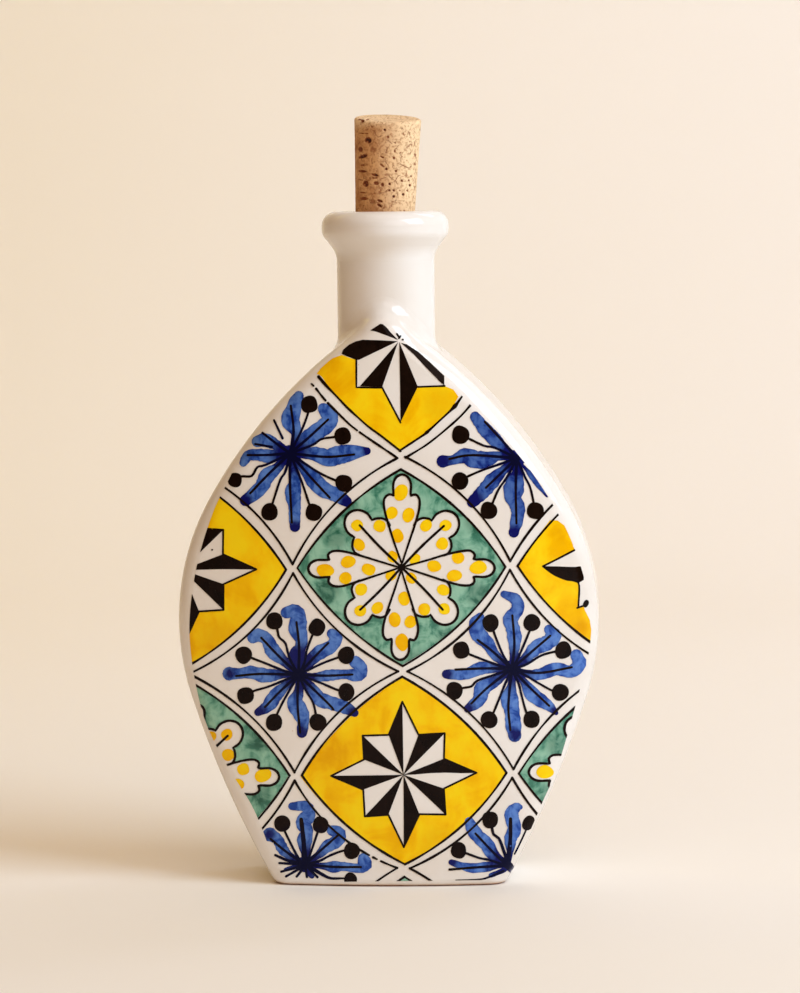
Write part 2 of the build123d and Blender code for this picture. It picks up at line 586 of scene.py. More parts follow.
@dataclass
class Hand:
    """A painter's hand, with small slips that are the same on every run."""

    seed: int
    draws: random.Random = field(init=False)

    def __post_init__(self) -> None:
        """Seeds the slips."""
        self.draws = random.Random(self.seed)

    def slip(self, size: float) -> float:
        """Draws a slip of up to a size, either way."""
        return self.draws.uniform(-size, size)

    def near(self, point: Point, size: float) -> Point:
        """Moves a point by a slip each way."""
        return (point[0] + self.slip(size), point[1] + self.slip(size))


def smooth_path(points: Sequence[tuple[float, ...]], step: float) -> list[tuple[float, ...]]:
    """Draws a smooth line through some points.

    Args:
        points: What the line passes, in millimetres: places, or places with a width.
        step: The length between two samples, in millimetres.

    Returns:
        Samples along the line, ends included, with as many numbers as each point.
    """
    knots = [Vector(point) for point in points]
    guides = [2 * knots[0] - knots[1], *knots, 2 * knots[-1] - knots[-2]]
    path = []
    for before, start, end, after in zip(guides, guides[1:], guides[2:], guides[3:]):
        count = max(2, round((end - start).length / step))
        for index in range(count):
            share = index / count
            pull_start = (end - before) / 2
            pull_end = (after - start) / 2
            square, cube = share**2, share**3
            place = (
                start * (2 * cube - 3 * square + 1)
                + pull_start * (cube - 2 * square + share)
                + end * (3 * square - 2 * cube)
                + pull_end * (cube - square)
            )
            path.append(tuple(place))
    path.append(tuple(points[-1]))
    return path


def straight_path(points: Sequence[Point], step: float) -> list[Point]:
    """Walks along straight lines between points.

    Args:
        points: The corners of the walk, in millimetres.
        step: The length between two samples, in millimetres.

    Returns:
        Points along the walk, corners included.
    """
    path = []
    for start, end in zip(points, points[1:]):
        count = max(1, round(math.dist(start, end) / step))
        for index in range(count):
            share = index / count
            path.append(
                (start[0] + (end[0] - start[0]) * share, start[1] + (end[1] - start[1]) * share)
            )
    path.append(points[-1])
    return path


def beside(centre: Point, along: float, aside: float, bearing: float) -> Point:
    """Places a point along a bearing from a centre, in radians, and to the bearing's left."""
    cosine, sine = math.cos(bearing), math.sin(bearing)
    return (centre[0] + along * cosine - aside * sine, centre[1] + along * sine + aside * cosine)


def round_end(centre: Point, radius: float, start: float) -> Outline:
    """Rounds one end of a brush's mark, from the bearing where the half turn starts."""
    steps = 6
    return [beside(centre, radius, 0.0, start + math.pi * step / steps) for step in range(1, steps)]


def brush_stroke(path: Sequence[Point], widths: Sequence[float], hand: Hand) -> Outline:
    """Outlines the mark that a round brush leaves along a path.

    Args:
        path: The points along the brush's way, in millimetres.
        widths: The mark's width at even shares of the way.
        hand: Whose slips change the width a little.

    Returns:
        The closed outline, with round ends.
    """
    width_slip = 0.07
    lefts: Outline = []
    rights: Outline = []
    half_widths = []
    for index, place in enumerate(path):
        share = index / (len(path) - 1) * (len(widths) - 1)
        step = min(int(share), len(widths) - 2)
        width = widths[step] + (widths[step + 1] - widths[step]) * (share - step)
        width *= 1 + hand.slip(width_slip)
        before = path[max(index - 1, 0)]
        after = path[min(index + 1, len(path) - 1)]
        along = math.atan2(after[1] - before[1], after[0] - before[0])
        side = (-math.sin(along) * width / 2, math.cos(along) * width / 2)
        half_widths.append(width / 2)
        lefts.append((place[0] + side[0], place[1] + side[1]))
        rights.append((place[0] - side[0], place[1] - side[1]))
    start_bearing = math.atan2(path[1][1] - path[0][1], path[1][0] - path[0][0])
    end_bearing = math.atan2(path[-1][1] - path[-2][1], path[-1][0] - path[-2][0])
    quarter = math.pi / 2
    outline = [
        *rights,
        *round_end(path[-1], half_widths[-1], end_bearing - quarter),
        *reversed(lefts),
        *round_end(path[0], half_widths[0], start_bearing + quarter),
    ]
    return outside_brush(outline, path, half_widths)


def outside_brush(outline: Outline, path: Sequence[Point], reaches: Sequence[float]) -> Outline:
    """Drops the corners of a mark that the brush itself covers again, as in a tight bend.

    Args:
        outline: The mark's corners, in millimetres.
        path: The points along the brush's way.
        reaches: The brush's half width at each of them.

    Returns:
        The corners that stay on the mark's rim.
    """
    slack = 0.93
    corners = np.array(outline)
    centres = np.array(path)
    gaps = np.linalg.norm(corners[:, None, :] - centres[None, :, :], axis=2)
    covered = (gaps < np.array(reaches)[None, :] * slack).any(axis=1)
    return [corner for corner, hidden in zip(outline, covered) if not hidden]


def varied_stroke(touches: Sequence[Touch], step: float, hand: Hand) -> Outline:
    """Outlines the mark of a brush that is pressed harder in some places.

    Args:
        touches: Points along the brush's way with the mark's width there, in millimetres.
        step: The length between two samples.
        hand: Whose slips change the width a little.

    Returns:
        The closed outline, with round ends.
    """
    thinnest = 0.3
    samples = smooth_path(touches, step)
    path = [(x, y) for x, y, _ in samples]
    return brush_stroke(path, [max(width, thinnest) for _, _, width in samples], hand)


def dab(centre: Point, across: float, along: float, hand: Hand, lean: float = 0.0) -> Outline:
    """Outlines one round touch of the brush.

    Args:
        centre: The touch's centre, in millimetres.
        across: Its half width.
        along: Its half height.
        hand: Whose slips make it uneven.
        lean: How far it leans, in radians.

    Returns:
        The closed outline.
    """
    sides, rim_slip = 22, 0.035
    lobes = [(hand.slip(rim_slip), hand.slip(math.pi)) for _ in range(3)]
    outline = []
    for side in range(sides):
        turn = FULL_TURN * side / sides
        waves = [size * math.cos(rank * turn + phase) for rank, (size, phase) in enumerate(lobes, 2)]
        uneven = 1 + sum(waves)
        x, y = across * uneven * math.cos(turn), along * uneven * math.sin(turn)
        outline.append(beside(centre, x, y, lean))
    return outline


def bowed_side(start: Point, end: Point, bow: float, step: float) -> list[Point]:
    """Draws a side that bows evenly to its right.

    Args:
        start: Where the side starts, in millimetres.
        end: Where it ends.
        bow: How far its middle lies to the right of the straight line.
        step: The length between two samples.

    Returns:
        Points along the side, ends included.
    """
    reach = math.dist(start, end)
    right = ((end[1] - start[1]) / reach, -(end[0] - start[0]) / reach)
    fewest = 4
    count = max(fewest, round(reach / step))
    side = []
    for index in range(count + 1):
        share = index / count
        push = bow * 4 * share * (1 - share)
        side.append(
            (
                start[0] + (end[0] - start[0]) * share + right[0] * push,
                start[1] + (end[1] - start[1]) * share + right[1] * push,
            )
        )
    return side


@dataclass
class PaintPlan:
    """All marks of one painted face, on the drawing plane."""

    edge: Outline
    marks: dict[Pigment, list[Outline]] = field(default_factory=lambda: {p: [] for p in Pigment})
    gaps: dict[Pigment, list[Outline]] = field(default_factory=lambda: {p: [] for p in Pigment})
    pools: dict[Pigment, list[Pool]] = field(default_factory=lambda: {p: [] for p in Pigment})
    core_share: float = 0.35

    def lay(self, pigment: Pigment, outline: Outline) -> None:
        """Lays one mark of a colour."""
        self.marks[pigment].append(outline)

    def spare(self, pigment: Pigment, outline: Outline) -> None:
        """Leaves a shape free of a colour."""
        self.gaps[pigment].append(outline)

    def pool(self, pigment: Pigment, centre: Point, reach: float, depth: float) -> None:
        """Lets a colour pool around a point."""
        self.pools[pigment].append((centre, reach, depth))

    def ink(self, pigment: Pigment, place: Point) -> float:
        """Says how much of a colour has pooled at a place.

        Args:
            pigment: The colour.
            place: The place on the drawing plane.

        Returns:
            A share from 0 to 1.
        """
        pooled = 0.0
        for centre, reach, depth in self.pools[pigment]:
            gap = math.dist(centre, place)
            if gap < reach:
                thinning = blend_step(gap, reach * self.core_share, reach)
                pooled = max(pooled, depth * (1 - thinning))
        return pooled


@dataclass(frozen=True)
class LatticeGrid:
    """The net of bowed lines that holds the tiles, in millimetres."""

    centre: Point = (4.0, 102.6)
    half_across: float = 36.1
    half_up: float = 34.6
    line_width: float = 0.72
    step: float = 1.4

    def place(self, column: int, row: int) -> Point:
        """Gives the centre of a tile by its column and row."""
        return (self.centre[0] + column * self.half_across, self.centre[1] + row * self.half_up)


@dataclass(frozen=True)
class Blot:
    """One touch of the brush: its place from the painting's heart, half sizes and lean."""

    place: Point
    across: float
    along: float
    lean: float = 0.0
    pigment: Pigment = Pigment.BLACK


@dataclass
class Tile:
    """One tile of the lattice, whose painting has its heart in the tile's middle or near it.

    Corners and sides are numbered clockwise from the top. A corner's move says how far the
    painter missed it, and the worn shares of a side are where the brush ran dry.
    """

    centre: Point
    hand: Hand
    grid: LatticeGrid
    setback: float = 2.0
    bow: float = 3.0
    heart_shift: Point = (0.0, 0.0)
    corner_moves: dict[int, Point] = field(default_factory=dict)
    worn: dict[int, tuple[float, ...]] = field(default_factory=dict)
    corner_slip: float = 0.3
    wash_slip: float = 0.35
    border_slip: float = 0.24
    border_marks: int = 7
    rim_width: float = 0.62
    pools: tuple[Pool, ...] = ()
    blots: tuple[Blot, ...] = ()
    heart_blot: Blot = Blot((0.0, 0.0), 1.3, 1.2)

    def paint(self, plan: PaintPlan) -> None:
        """Paints the tile, each kind in its own way."""
        raise NotImplementedError

    def at(self, x: float, y: float) -> Point:
        """Places a point by its distance from the tile's centre."""
        return (self.centre[0] + x, self.centre[1] + y)

    def spot(self, x: float, y: float) -> Point:
        """Places a point by its distance from the painting's heart."""
        return self.at(x + self.heart_shift[0], y + self.heart_shift[1])

    def spots(self, points: Iterable[Point]) -> list[Point]:
        """Places points by their distance from the painting's heart."""
        return [self.spot(x, y) for x, y in points]

    def turned(self, along: float, aside: float, bearing: float) -> Point:
        """Places a point along a bearing from the tile's centre, and to the bearing's left."""
        return beside(self.centre, along, aside, bearing)

    def curve(self, points: Iterable[Point], bearing: float, step: float) -> list[Point]:
        """Draws a smooth line through points that are given along a bearing and to its left."""
        return smooth_path([self.turned(x, y, bearing) for x, y in points], step)

    def sides(self, slip: float) -> list[list[Point]]:
        """Draws the tile's four sides.

        Args:
            slip: How far the hand may miss a corner.

        Returns:
            The four sides.
        """
        across = self.grid.half_across - self.setback
        up = self.grid.half_up - self.setback
        corners = []
        for number, (x, y) in enumerate(((0.0, up), (across, 0.0), (0.0, -up), (-across, 0.0))):
            move_x, move_y = self.corner_moves.get(number, (0.0, 0.0))
            corners.append(self.hand.near(self.at(x + move_x, y + move_y), slip))
        return [
            bowed_side(end, start, self.bow + self.hand.slip(slip), self.grid.step)[::-1]
            for start, end in zip(corners, [*corners[1:], corners[0]])
        ]

    def stroke(
        self, plan: PaintPlan, path: Outline, width: float, press: Sequence[float] = (1.0, 1.0)
    ) -> None:
        """Draws a black line along a path, with the press as shares of the line's width."""
        widths = [width * share for share in press]
        plan.lay(Pigment.BLACK, brush_stroke(path, widths, self.hand))

    def pressed_line(self, plan: PaintPlan, touches: Iterable[Touch], step: float) -> None:
        """Draws a black line through spots that each have a width of their own."""
        placed = [(*self.spot(x, y), width) for x, y, width in touches]
        plan.lay(Pigment.BLACK, varied_stroke(placed, step, self.hand))

    def lay_blot(self, plan: PaintPlan, blot: Blot) -> None:
        """Touches the tile once with the brush."""
        place = self.spot(*blot.place)
        plan.lay(blot.pigment, dab(place, blot.across, blot.along, self.hand, blot.lean))

    def pool_up(self, plan: PaintPlan, pigment: Pigment) -> None:
        """Lets a colour pool at the tile's own spots."""
        for place, reach, depth in self.pools:
            plan.pool(pigment, self.spot(*place), reach, depth)

    def draw_border(self, plan: PaintPlan) -> None:
        """Draws the tile's black border, with the breaks where the brush ran dry.

        Args:
            plan: The plan that takes the marks.
        """
        for number, side in enumerate(self.sides(self.corner_slip)):
            start = 0
            for share in (*self.worn.get(number, ()), 1.0):
                stop = round(share * (len(side) - 1))
                if stop - start >= 1:
                    press = [1 + self.hand.slip(self.border_slip) for _ in range(self.border_marks)]
                    self.stroke(plan, side[start : stop + 1], self.grid.line_width, press)
                start = stop + 1

    def fill(self, plan: PaintPlan, pigment: Pigment) -> None:
        """Washes the whole tile with a colour."""
        outline = [point for side in self.sides(self.wash_slip) for point in side[:-1]]
        plan.lay(pigment, outline)


@dataclass
class StarTile(Tile):
    """A yellow tile with an eight-pointed star of black and white blades."""

    point_reach: float = 24.2
    corner_reach: float = 13.5
    waist: float = 5.1
    point_slip: float = 0.35
    heart_slip: float = 0.2
    pools: tuple[Pool, ...] = (((-24.2, 24.2 / 3), 9.0, 0.4), ((12.1, -24.2), 10.0, 0.35))

    def corners(self) -> list[Point]:
        """Lists the star's corners, anticlockwise from the right foot of the top point.

        Returns:
            The corners on the drawing plane.
        """
        long, square, waist = self.point_reach, self.corner_reach, self.waist
        quarter = ((waist, square), (0.0, long), (-waist, square), (-square, square))
        listed = []
        for number in range(4):
            turn = number * math.pi / 2
            for x, y in quarter:
                listed.append(self.hand.near(self.turned(x, y, turn), self.point_slip))
        return listed

    def paint(self, plan: PaintPlan) -> None:
        """Paints the ground, the star's black blades and its rim.

        Args:
            plan: The plan that takes the marks.
        """
        self.fill(plan, Pigment.YELLOW)
        self.draw_border(plan)
        corners = self.corners()
        plan.spare(Pigment.YELLOW, corners)
        heart = self.hand.near(self.spot(0.0, 0.0), self.heart_slip)
        for number, (start, end) in enumerate(zip(corners, [*corners[1:], corners[0]])):
            self.stroke(plan, straight_path((start, end), self.grid.step), self.rim_width)
            if number % 2 == 1:
                plan.lay(Pigment.BLACK, [heart, start, end])
        self.pool_up(plan, Pigment.YELLOW)
        for blot in self.blots:
            self.lay_blot(plan, blot)


@dataclass
class CutStarTile(Tile):
    """The yellow tile on the right, of which the flank leaves little more than one blade."""

    ground: Points = (
        (-34.1, 0.0), (-27.1, 9.8), (-23.0, 15.1), (-20.5, 14.9), (-18.1, 13.1), (-15.7, 9.2),
        (-15.5, 6.4), (-14.9, 5.1), (-25.5, -0.2), (-21.6, -3.1), (-17.5, -4.8), (-13.8, -5.9),
        (-13.9, -14.0), (-12.2, -13.5), (-11.8, -14.9), (-10.2, -18.2), (-9.6, -22.4), (-10.1, -26.1),
        (-19.1, -18.5), (-27.1, -9.8),
    )
    blade: Points = (
        (-25.5, -0.2), (-12.5, -0.4), (-11.9, -1.6), (-12.1, -4.9), (-13.8, -5.9), (-17.5, -4.8),
        (-21.6, -3.1),
    )
    rims: tuple[Points, ...] = (
        ((-25.5, -0.2), (-20.4, 2.3), (-14.9, 5.1)),
        ((-25.5, -0.2), (-21.6, -3.1), (-17.5, -4.8), (-13.8, -5.9), (-13.9, -14.0)),
        ((-14.3, -14.2), (-12.2, -13.5)),
    )
    blots: tuple[Blot, ...] = (Blot((-11.4, -12.8), 0.85, 1.35, -0.4),)
    pools: tuple[Pool, ...] = (((-12.0, -22.0), 6.0, 0.6), ((-19.0, 12.0), 6.0, 0.4))

    def paint(self, plan: PaintPlan) -> None:
        """Paints the ground, the one blade and the lines that reach past it.

        Args:
            plan: The plan that takes the marks.
        """
        plan.lay(Pigment.YELLOW, self.spots(self.ground))
        self.draw_border(plan)
        plan.lay(Pigment.BLACK, self.spots(self.blade))
        for rim in self.rims:
            self.stroke(plan, smooth_path(self.spots(rim), self.grid.step), self.rim_width)
        for blot in self.blots:
            self.lay_blot(plan, blot)
        self.pool_up(plan, Pigment.YELLOW)


@dataclass
class RosetteTile(Tile):
    """A green tile with a white rosette of eight dotted petals.

    The long petals' flanks and lobes are shares of their reach and of their half widths. A
    dot is given by its place along the petal and to its left, and by its two half sizes.
    """

    tip_reach: float = 30.8
    petal_half_width: float = 5.8
    lobe_half_width: float = 2.9
    petal_start: Point = (1.5, 0.25)
    petal_flank: Points = (
        (0.27, 0.42), (0.48, 0.78), (0.64, 0.99), (0.74, 0.98), (0.785, 0.78),
    )
    petal_notch: Point = (0.775, 1.03)
    petal_lobe: Points = ((0.80, 0.98), (0.90, 1.0), (0.97, 0.66), (1.0, 0.0))
    short_flank: Points = ((12.6, 7.0), (14.6, 7.5), (16.6, 6.7), (17.9, 5.0))
    short_lobe: Points = ((18.0, 4.1), (20.6, 4.5), (23.2, 3.5), (24.8, 1.3))
    short_vein: Points = ((0.0, 0.0), (10.0, 0.3), (19.6, 0.0))
    long_dots: tuple[tuple[float, ...], ...] = (
        (25.2, 0.2, 2.9, 2.2), (18.4, 3.1, 2.1, 2.0), (17.2, -2.4, 2.5, 2.0), (10.6, 0.9, 2.4, 1.9),
    )
    short_dots: tuple[tuple[float, ...], ...] = (
        (20.0, 0.2, 2.0, 1.9), (15.2, 4.3, 2.2, 1.8), (14.8, -4.2, 2.1, 2.0), (5.0, -0.6, 2.0, 1.7),
    )
    flank_step: float = 1.1
    tip_step: float = 0.8
    short_step: float = 0.9
    bearing_slip: float = 0.03
    flank_slip: float = 0.25
    short_slip: float = 0.3
    dot_slip: float = 0.5
    lean_slip: float = 0.4
    heart_reach: float = 7.0
    rim_width: float = 0.78
    long_press: tuple[float, ...] = (0.8, 1.0, 1.1)
    tip_press: tuple[float, ...] = (1.0, 1.15, 1.0)
    short_press: tuple[float, ...] = (1.0, 1.1, 1.0)
    pool_spots: Points = (
        (-16, 22), (14, -24), (26, -8), (-25, -8), (24, 13), (-22, 9), (4, -30),
    )
    pool_slip: float = 2.0
    pool_reach: float = 5.5
    pool_depth: float = 0.55

    def long_petal(self, bearing: float) -> tuple[list[Point], list[Point], list[Point]]:
        """Draws one side-pointing petal.

        Args:
            bearing: The petal's direction.

        Returns:
            The left flank from the heart, the lobe, and the right flank back to the heart.
        """
        tip, half, lobe = self.tip_reach, self.petal_half_width, self.lobe_half_width
        notch = (tip * self.petal_notch[0], lobe * self.petal_notch[1])
        flank = [self.petal_start, *[(tip * x, half * y) for x, y in self.petal_flank], notch]
        lobes = [(tip * x, lobe * y) for x, y in self.petal_lobe]
        shaken = [(along, aside + self.hand.slip(self.flank_slip)) for along, aside in flank]
        left = self.curve(shaken, bearing, self.flank_step)
        right = self.curve([(x, -y) for x, y in flank], bearing, self.flank_step)
        round_tip = [*lobes, *[(x, -y) for x, y in reversed(lobes[:-1])]]
        over = [left[-1], *[self.turned(x, y, bearing) for x, y in round_tip], right[-1]]
        return left, smooth_path(over, self.tip_step), right[::-1]

    def short_petal(self, bearing: float) -> list[Point]:
        """Draws one corner petal: a large lobe between two small ones.

        Args:
            bearing: The petal's direction.

        Returns:
            The petal's rim, from its left side over the top to its right side.
        """
        flank = [(along + self.hand.slip(self.short_slip), aside) for along, aside in self.short_flank]
        over = [*self.short_lobe, *[(x, -y) for x, y in reversed(self.short_lobe)]]
        left, right, top = (
            self.curve(points, bearing, self.short_step)
            for points in (flank, [(x, -y) for x, y in flank], over)
        )
        return [*left, *top, *reversed(right)]

    def paint(self, plan: PaintPlan) -> None:
        """Paints the ground around the petals, their rims and their yellow dots.

        Args:
            plan: The plan that takes the marks.
        """
        self.fill(plan, Pigment.GREEN)
        self.draw_border(plan)
        heart = self.spot(0.0, 0.0)
        plan.spare(Pigment.GREEN, dab(heart, self.heart_reach, self.heart_reach, self.hand))
        for number in range(4):
            bearing = number * math.pi / 2 + self.hand.slip(self.bearing_slip)
            left, top, right = self.long_petal(bearing)
            plan.spare(Pigment.GREEN, [*left, *top[1:], *right[1:]])
            self.stroke(plan, left, self.rim_width, self.long_press)
            self.stroke(plan, top, self.rim_width, self.tip_press)
            self.stroke(plan, right, self.rim_width, self.long_press[::-1])
            corner = bearing + math.pi / 4
            short = self.short_petal(corner)
            plan.spare(Pigment.GREEN, [*short, heart])
            self.stroke(plan, short, self.rim_width, self.short_press)
            vein = self.curve(self.short_vein, corner, self.grid.step)
            self.stroke(plan, vein, self.rim_width, self.tip_press)
            for heading, dots in ((bearing, self.long_dots), (corner, self.short_dots)):
                self.dot_petal(plan, heading, dots)
        self.lay_blot(plan, self.heart_blot)
        for spot in self.pool_spots:
            place = self.hand.near(self.spot(*spot), self.pool_slip)
            plan.pool(Pigment.GREEN, place, self.pool_reach, self.pool_depth)

    def dot_petal(self, plan: PaintPlan, bearing: float, dots: Iterable[tuple[float, ...]]) -> None:
        """Dots one petal with yellow.

        Args:
            plan: The plan that takes the marks.
            bearing: The petal's direction.
            dots: The dots' places and half sizes.
        """
        for along, aside, reach, half_width in dots:
            centre = self.hand.near(self.turned(along, aside, bearing), self.dot_slip)
            lean = bearing + self.hand.slip(self.lean_slip)
            plan.lay(Pigment.YELLOW, dab(centre, reach, half_width, self.hand, lean))


@dataclass(frozen=True)
class Petal:
    """One blue petal of a burst, in millimetres from the burst's heart.

    The way gives each place that the brush passes after the heart, and the mark's width there.
    """

    way: tuple[Touch, ...]
    vein: Points = ()
    dark_end: float = 0.0
    vein_width: float = 0.85


@dataclass(frozen=True)
class Stamen:
    """One thin black line that runs from a dot in towards a burst's heart."""

    dot: Point
    way: Points
    radius: float = 2.85
    line_width: float = 0.8


@dataclass(frozen=True)
class Burst:
    """All that is painted inside one white tile, in millimetres from the burst's heart."""

    shift: Point
    petals: tuple[Petal, ...]
    stamens: tuple[Stamen, ...]
    lines: tuple[tuple[Touch, ...], ...] = ()
    blots: tuple[Blot, ...] = ()
    heart: Blot = Blot((0.0, 0.0), 3.0, 2.8, pigment=Pigment.BLUE)
    worn: tuple[float, ...] = ()
    corner_moves: dict[int, Point] = field(default_factory=dict)
    drawn_side: Points = ()
    drawn_number: int = 0
    density: float = 0.0


UPPER_LEFT_BURST = Burst(
    shift=(-0.1, 3.6),
    worn=(0.03, 0.19, 0.57),
    corner_moves={1: (0.7, 1.6)},
    drawn_side=(
        (-24.8, 163.6), (-23.3, 162.0), (-20.3, 158.1), (-14.7, 152.3), (-10.0, 148.1), (3.2, 138.8),
    ),
    density=0.1,
    petals=(
        Petal(((8.1, -0.4, 4.6), (12.1, -1.6, 5.6), (15.5, -0.7, 6.2), (18.9, -0.3, 5.5), (22.2, 0.2, 4.1),
              (25.4, 0.5, 2.6)), ((12.0, -1.2), (21.2, -0.8)), dark_end=1.6),
        Petal(((4.0, 3.7, 4.4), (8.1, 6.4, 5.4), (11.4, 8.5, 5.6), (13.3, 10.8, 5.4), (12.5, 13.2, 5.4),
              (11.1, 14.7, 3.6)), ((6.2, 5.2), (12.8, 11.0))),
        Petal(((1.7, 3.7, 3.2), (1.9, 7.4, 3.8), (0.4, 10.8, 6.2), (1.2, 14.2, 5.0), (1.9, 16.6, 4.6),
              (3.2, 18.8, 3.2)), ((1.4, 7.0), (0.5, 15.7))),
        Petal(((-4.0, 2.6, 3.4), (-8.0, 4.6, 4.6), (-10.6, 4.2, 3.6)), ((-4.6, 3.4), (-8.8, 6.8))),
        Petal(((-6.4, -0.7, 4.4), (-10.4, -0.2, 4.0), (-13.8, -0.7, 3.6), (-15.3, -3.0, 2.6)),
              ((-7.0, -0.3), (-14.0, -0.5))),
        Petal(((-4.0, -4.4, 3.4), (-7.6, -7.3, 5.0), (-9.4, -10.5, 4.6), (-12.1, -13.5, 4.4),
              (-15.0, -15.4, 3.6)), ((-7.4, -7.2), (-13.3, -13.0)), dark_end=2.4),
        Petal(((1.3, -6.1, 2.6), (1.3, -9.5, 3.8), (0.7, -13.2, 5.2), (1.3, -17.3, 4.0), (1.3, -21.3, 3.9),
              (1.2, -24.5, 3.6)), ((-0.2, -10.0), (0.3, -22.8)), dark_end=2.4),
        Petal(((4.0, -4.4, 3.4), (7.4, -8.8, 5.2), (10.8, -12.2, 5.4), (14.8, -13.9, 4.6),
              (18.5, -16.2, 3.8)), ((6.8, -8.0), (12.8, -14.9)), dark_end=2.5),
    ),
    stamens=(
        Stamen((-18.2, -8.6), ((-16.2, -7.4), (-12.8, -7.3), (-10.8, -4.4), (-8.1, -3.7)), 2.4),
        Stamen((-7.2, -19.3), ((-6.1, -16.6), (-3.4, -8.8), (-1.7, -6.1))),
        Stamen((7.5, -19.5), ((6.1, -16.9), (3.7, -9.5))),
        Stamen((17.4, -10.1), ((14.8, -9.1), (8.8, -6.1))),
        Stamen((17.4, 5.5), ((14.5, 5.2), (10.4, 4.6), (7.4, 2.7))),
        Stamen((6.7, 16.1), ((6.1, 13.2), (4.0, 7.8))),
    ),
    lines=(
        ((-2.4, 5.0, 0.8), (-5.1, 11.0, 0.7)),
        ((-6.0, 2.2, 0.9), (-11.4, 3.2, 0.7)),
    ),
)

UPPER_RIGHT_BURST = Burst(
    shift=(2.3, 1.1),
    corner_moves={3: (0.3, 1.7)},
    drawn_side=((5.8, 138.9), (12.9, 143.2), (19.2, 148.1), (24.2, 152.5), (27.9, 156.6)),
    drawn_number=3,
    density=0.4,
    petals=(
        Petal(((-4.6, 3.6, 3.4), (-7.9, 6.8, 4.8), (-10.9, 10.2, 4.4), (-13.3, 13.8, 3.4)), ((-4.4, 5.4),
              (-10.3, 12.0))),
        Petal(((-6.1, 0.7, 3.2), (-9.5, 0.0, 5.0), (-13.4, -0.2, 6.0), (-17.2, 0.9, 5.0),
              (-20.7, -0.3, 3.2), (-24.3, -0.8, 4.2)), ((-14.8, 1.0), (-22.0, 0.0)), dark_end=2.8),
        Petal(((-4.7, -4.0, 3.2), (-7.8, -7.2, 5.0), (-10.6, -10.6, 4.8), (-14.9, -14.3, 3.8)),
              ((-5.0, -4.6), (-10.2, -9.6)), dark_end=4.6),
        Petal(((0.0, -5.2, 3.6), (-0.9, -9.4, 6.8), (-1.4, -12.7, 5.4), (0.2, -16.6, 4.8),
              (0.0, -20.4, 4.3), (-1.0, -24.4, 3.4)), ((-0.4, -10.0), (-0.3, -21.5)), dark_end=2.4),
        Petal(((2.6, -3.0, 1.0), (6.4, -7.5, 2.4), (9.9, -12.4, 1.4)), dark_end=1.4),
    ),
    stamens=(
        Stamen((-18.6, 8.0), ((-15.4, 6.5), (-10.6, 4.2), (-7.1, 3.5)), 3.0),
        Stamen((-18.9, -7.3), ((-16.1, -5.8), (-11.3, -3.8), (-7.1, -2.4))),
        Stamen((-9.4, -17.3), ((-8.0, -14.5), (-6.1, -10.3), (-3.0, -5.8))),
        Stamen((5.8, -17.3), ((5.4, -14.5), (4.3, -9.6), (2.6, -6.1))),
    ),
)

MIDDLE_LEFT_BURST = Burst(
    shift=(1.6, -0.7),
    blots=(Blot((-0.2, 4.9), 3.3, 4.9, pigment=Pigment.BLUE),),
    petals=(
        Petal(((0.3, 7.2, 3.4), (1.3, 11.5, 4.2), (-0.2, 15.1, 5.8), (0.3, 18.4, 5.4), (-0.7, 21.1, 4.8),
              (-3.6, 20.8, 4.2)), ((0.4, 9.0), (-0.5, 17.5))),
        Petal(((3.6, 3.9, 3.6), (6.8, 6.9, 4.8), (10.8, 9.2, 4.4), (12.6, 11.8, 4.2), (11.2, 13.4, 3.4)),
              ((5.0, 5.4), (9.9, 10.5))),
        Petal(((5.2, -1.0, 2.8), (10.1, -0.5, 3.8), (15.0, -0.1, 3.2), (19.6, -0.4, 4.6), (20.7, 2.2, 4.4),
              (19.0, 3.9, 4.0)), ((9.0, -0.4), (17.8, 0.0))),
        Petal(((3.6, -3.9, 3.2), (6.8, -8.2, 4.8), (10.8, -9.5, 4.6), (15.3, -11.1, 4.2),
              (18.4, -13.0, 2.8)), ((9.8, -9.8), (11.2, -11.8)), dark_end=2.6),
        Petal(((0.0, -5.6, 3.2), (-1.3, -9.2, 5.2), (0.0, -12.1, 5.8), (1.1, -15.1, 4.2),
              (0.8, -19.6, 3.4)), ((-0.3, -9.5), (0.3, -19.3)), dark_end=2.4),
        Petal(((-4.2, -3.6, 3.0), (-7.5, -6.9, 4.6), (-10.1, -10.2, 4.2), (-13.4, -12.5, 2.8)),
              ((-6.0, -5.4), (-11.4, -10.5)), dark_end=2.5),
        Petal(((-5.5, 0.3, 2.8), (-10.9, -0.2, 4.8), (-16.0, 1.0, 4.2), (-19.2, 0.5, 3.4),
              (-22.8, 0.7, 4.6)), ((-12.7, 0.5), (-20.7, 0.0)), dark_end=1.6),
        Petal(((-4.6, 4.3, 3.2), (-8.2, 7.9, 5.0), (-10.4, 11.8, 4.2), (-13.0, 13.4, 4.4),
              (-15.0, 12.6, 3.8)), ((-6.4, 6.2), (-12.2, 12.3))),
    ),
    stamens=(
        Stamen((6.2, 15.8), ((4.9, 13.4), (2.9, 8.2), (2.0, 3.9))),
        Stamen((15.7, 6.4), ((12.7, 5.4), (7.8, 3.6))),
        Stamen((15.7, -6.1), ((12.4, -5.1), (7.2, -2.8))),
        Stamen((6.0, -16.1), ((5.5, -13.1), (4.6, -9.2), (2.3, -5.2))),
        Stamen((-8.4, -15.8), ((-7.3, -13.1), (-5.2, -8.9), (-2.3, -3.9))),
        Stamen((-17.5, -6.7), ((-14.7, -5.2), (-10.1, -3.9), (-4.2, -1.6))),
        Stamen((-17.9, 6.9), ((-15.0, 5.6), (-10.1, 3.6), (-4.6, 1.3))),
        Stamen((-7.7, 17.8), ((-6.8, 15.1), (-6.2, 12.5), (-4.2, 10.5), (-2.9, 5.6))),
    ),
)

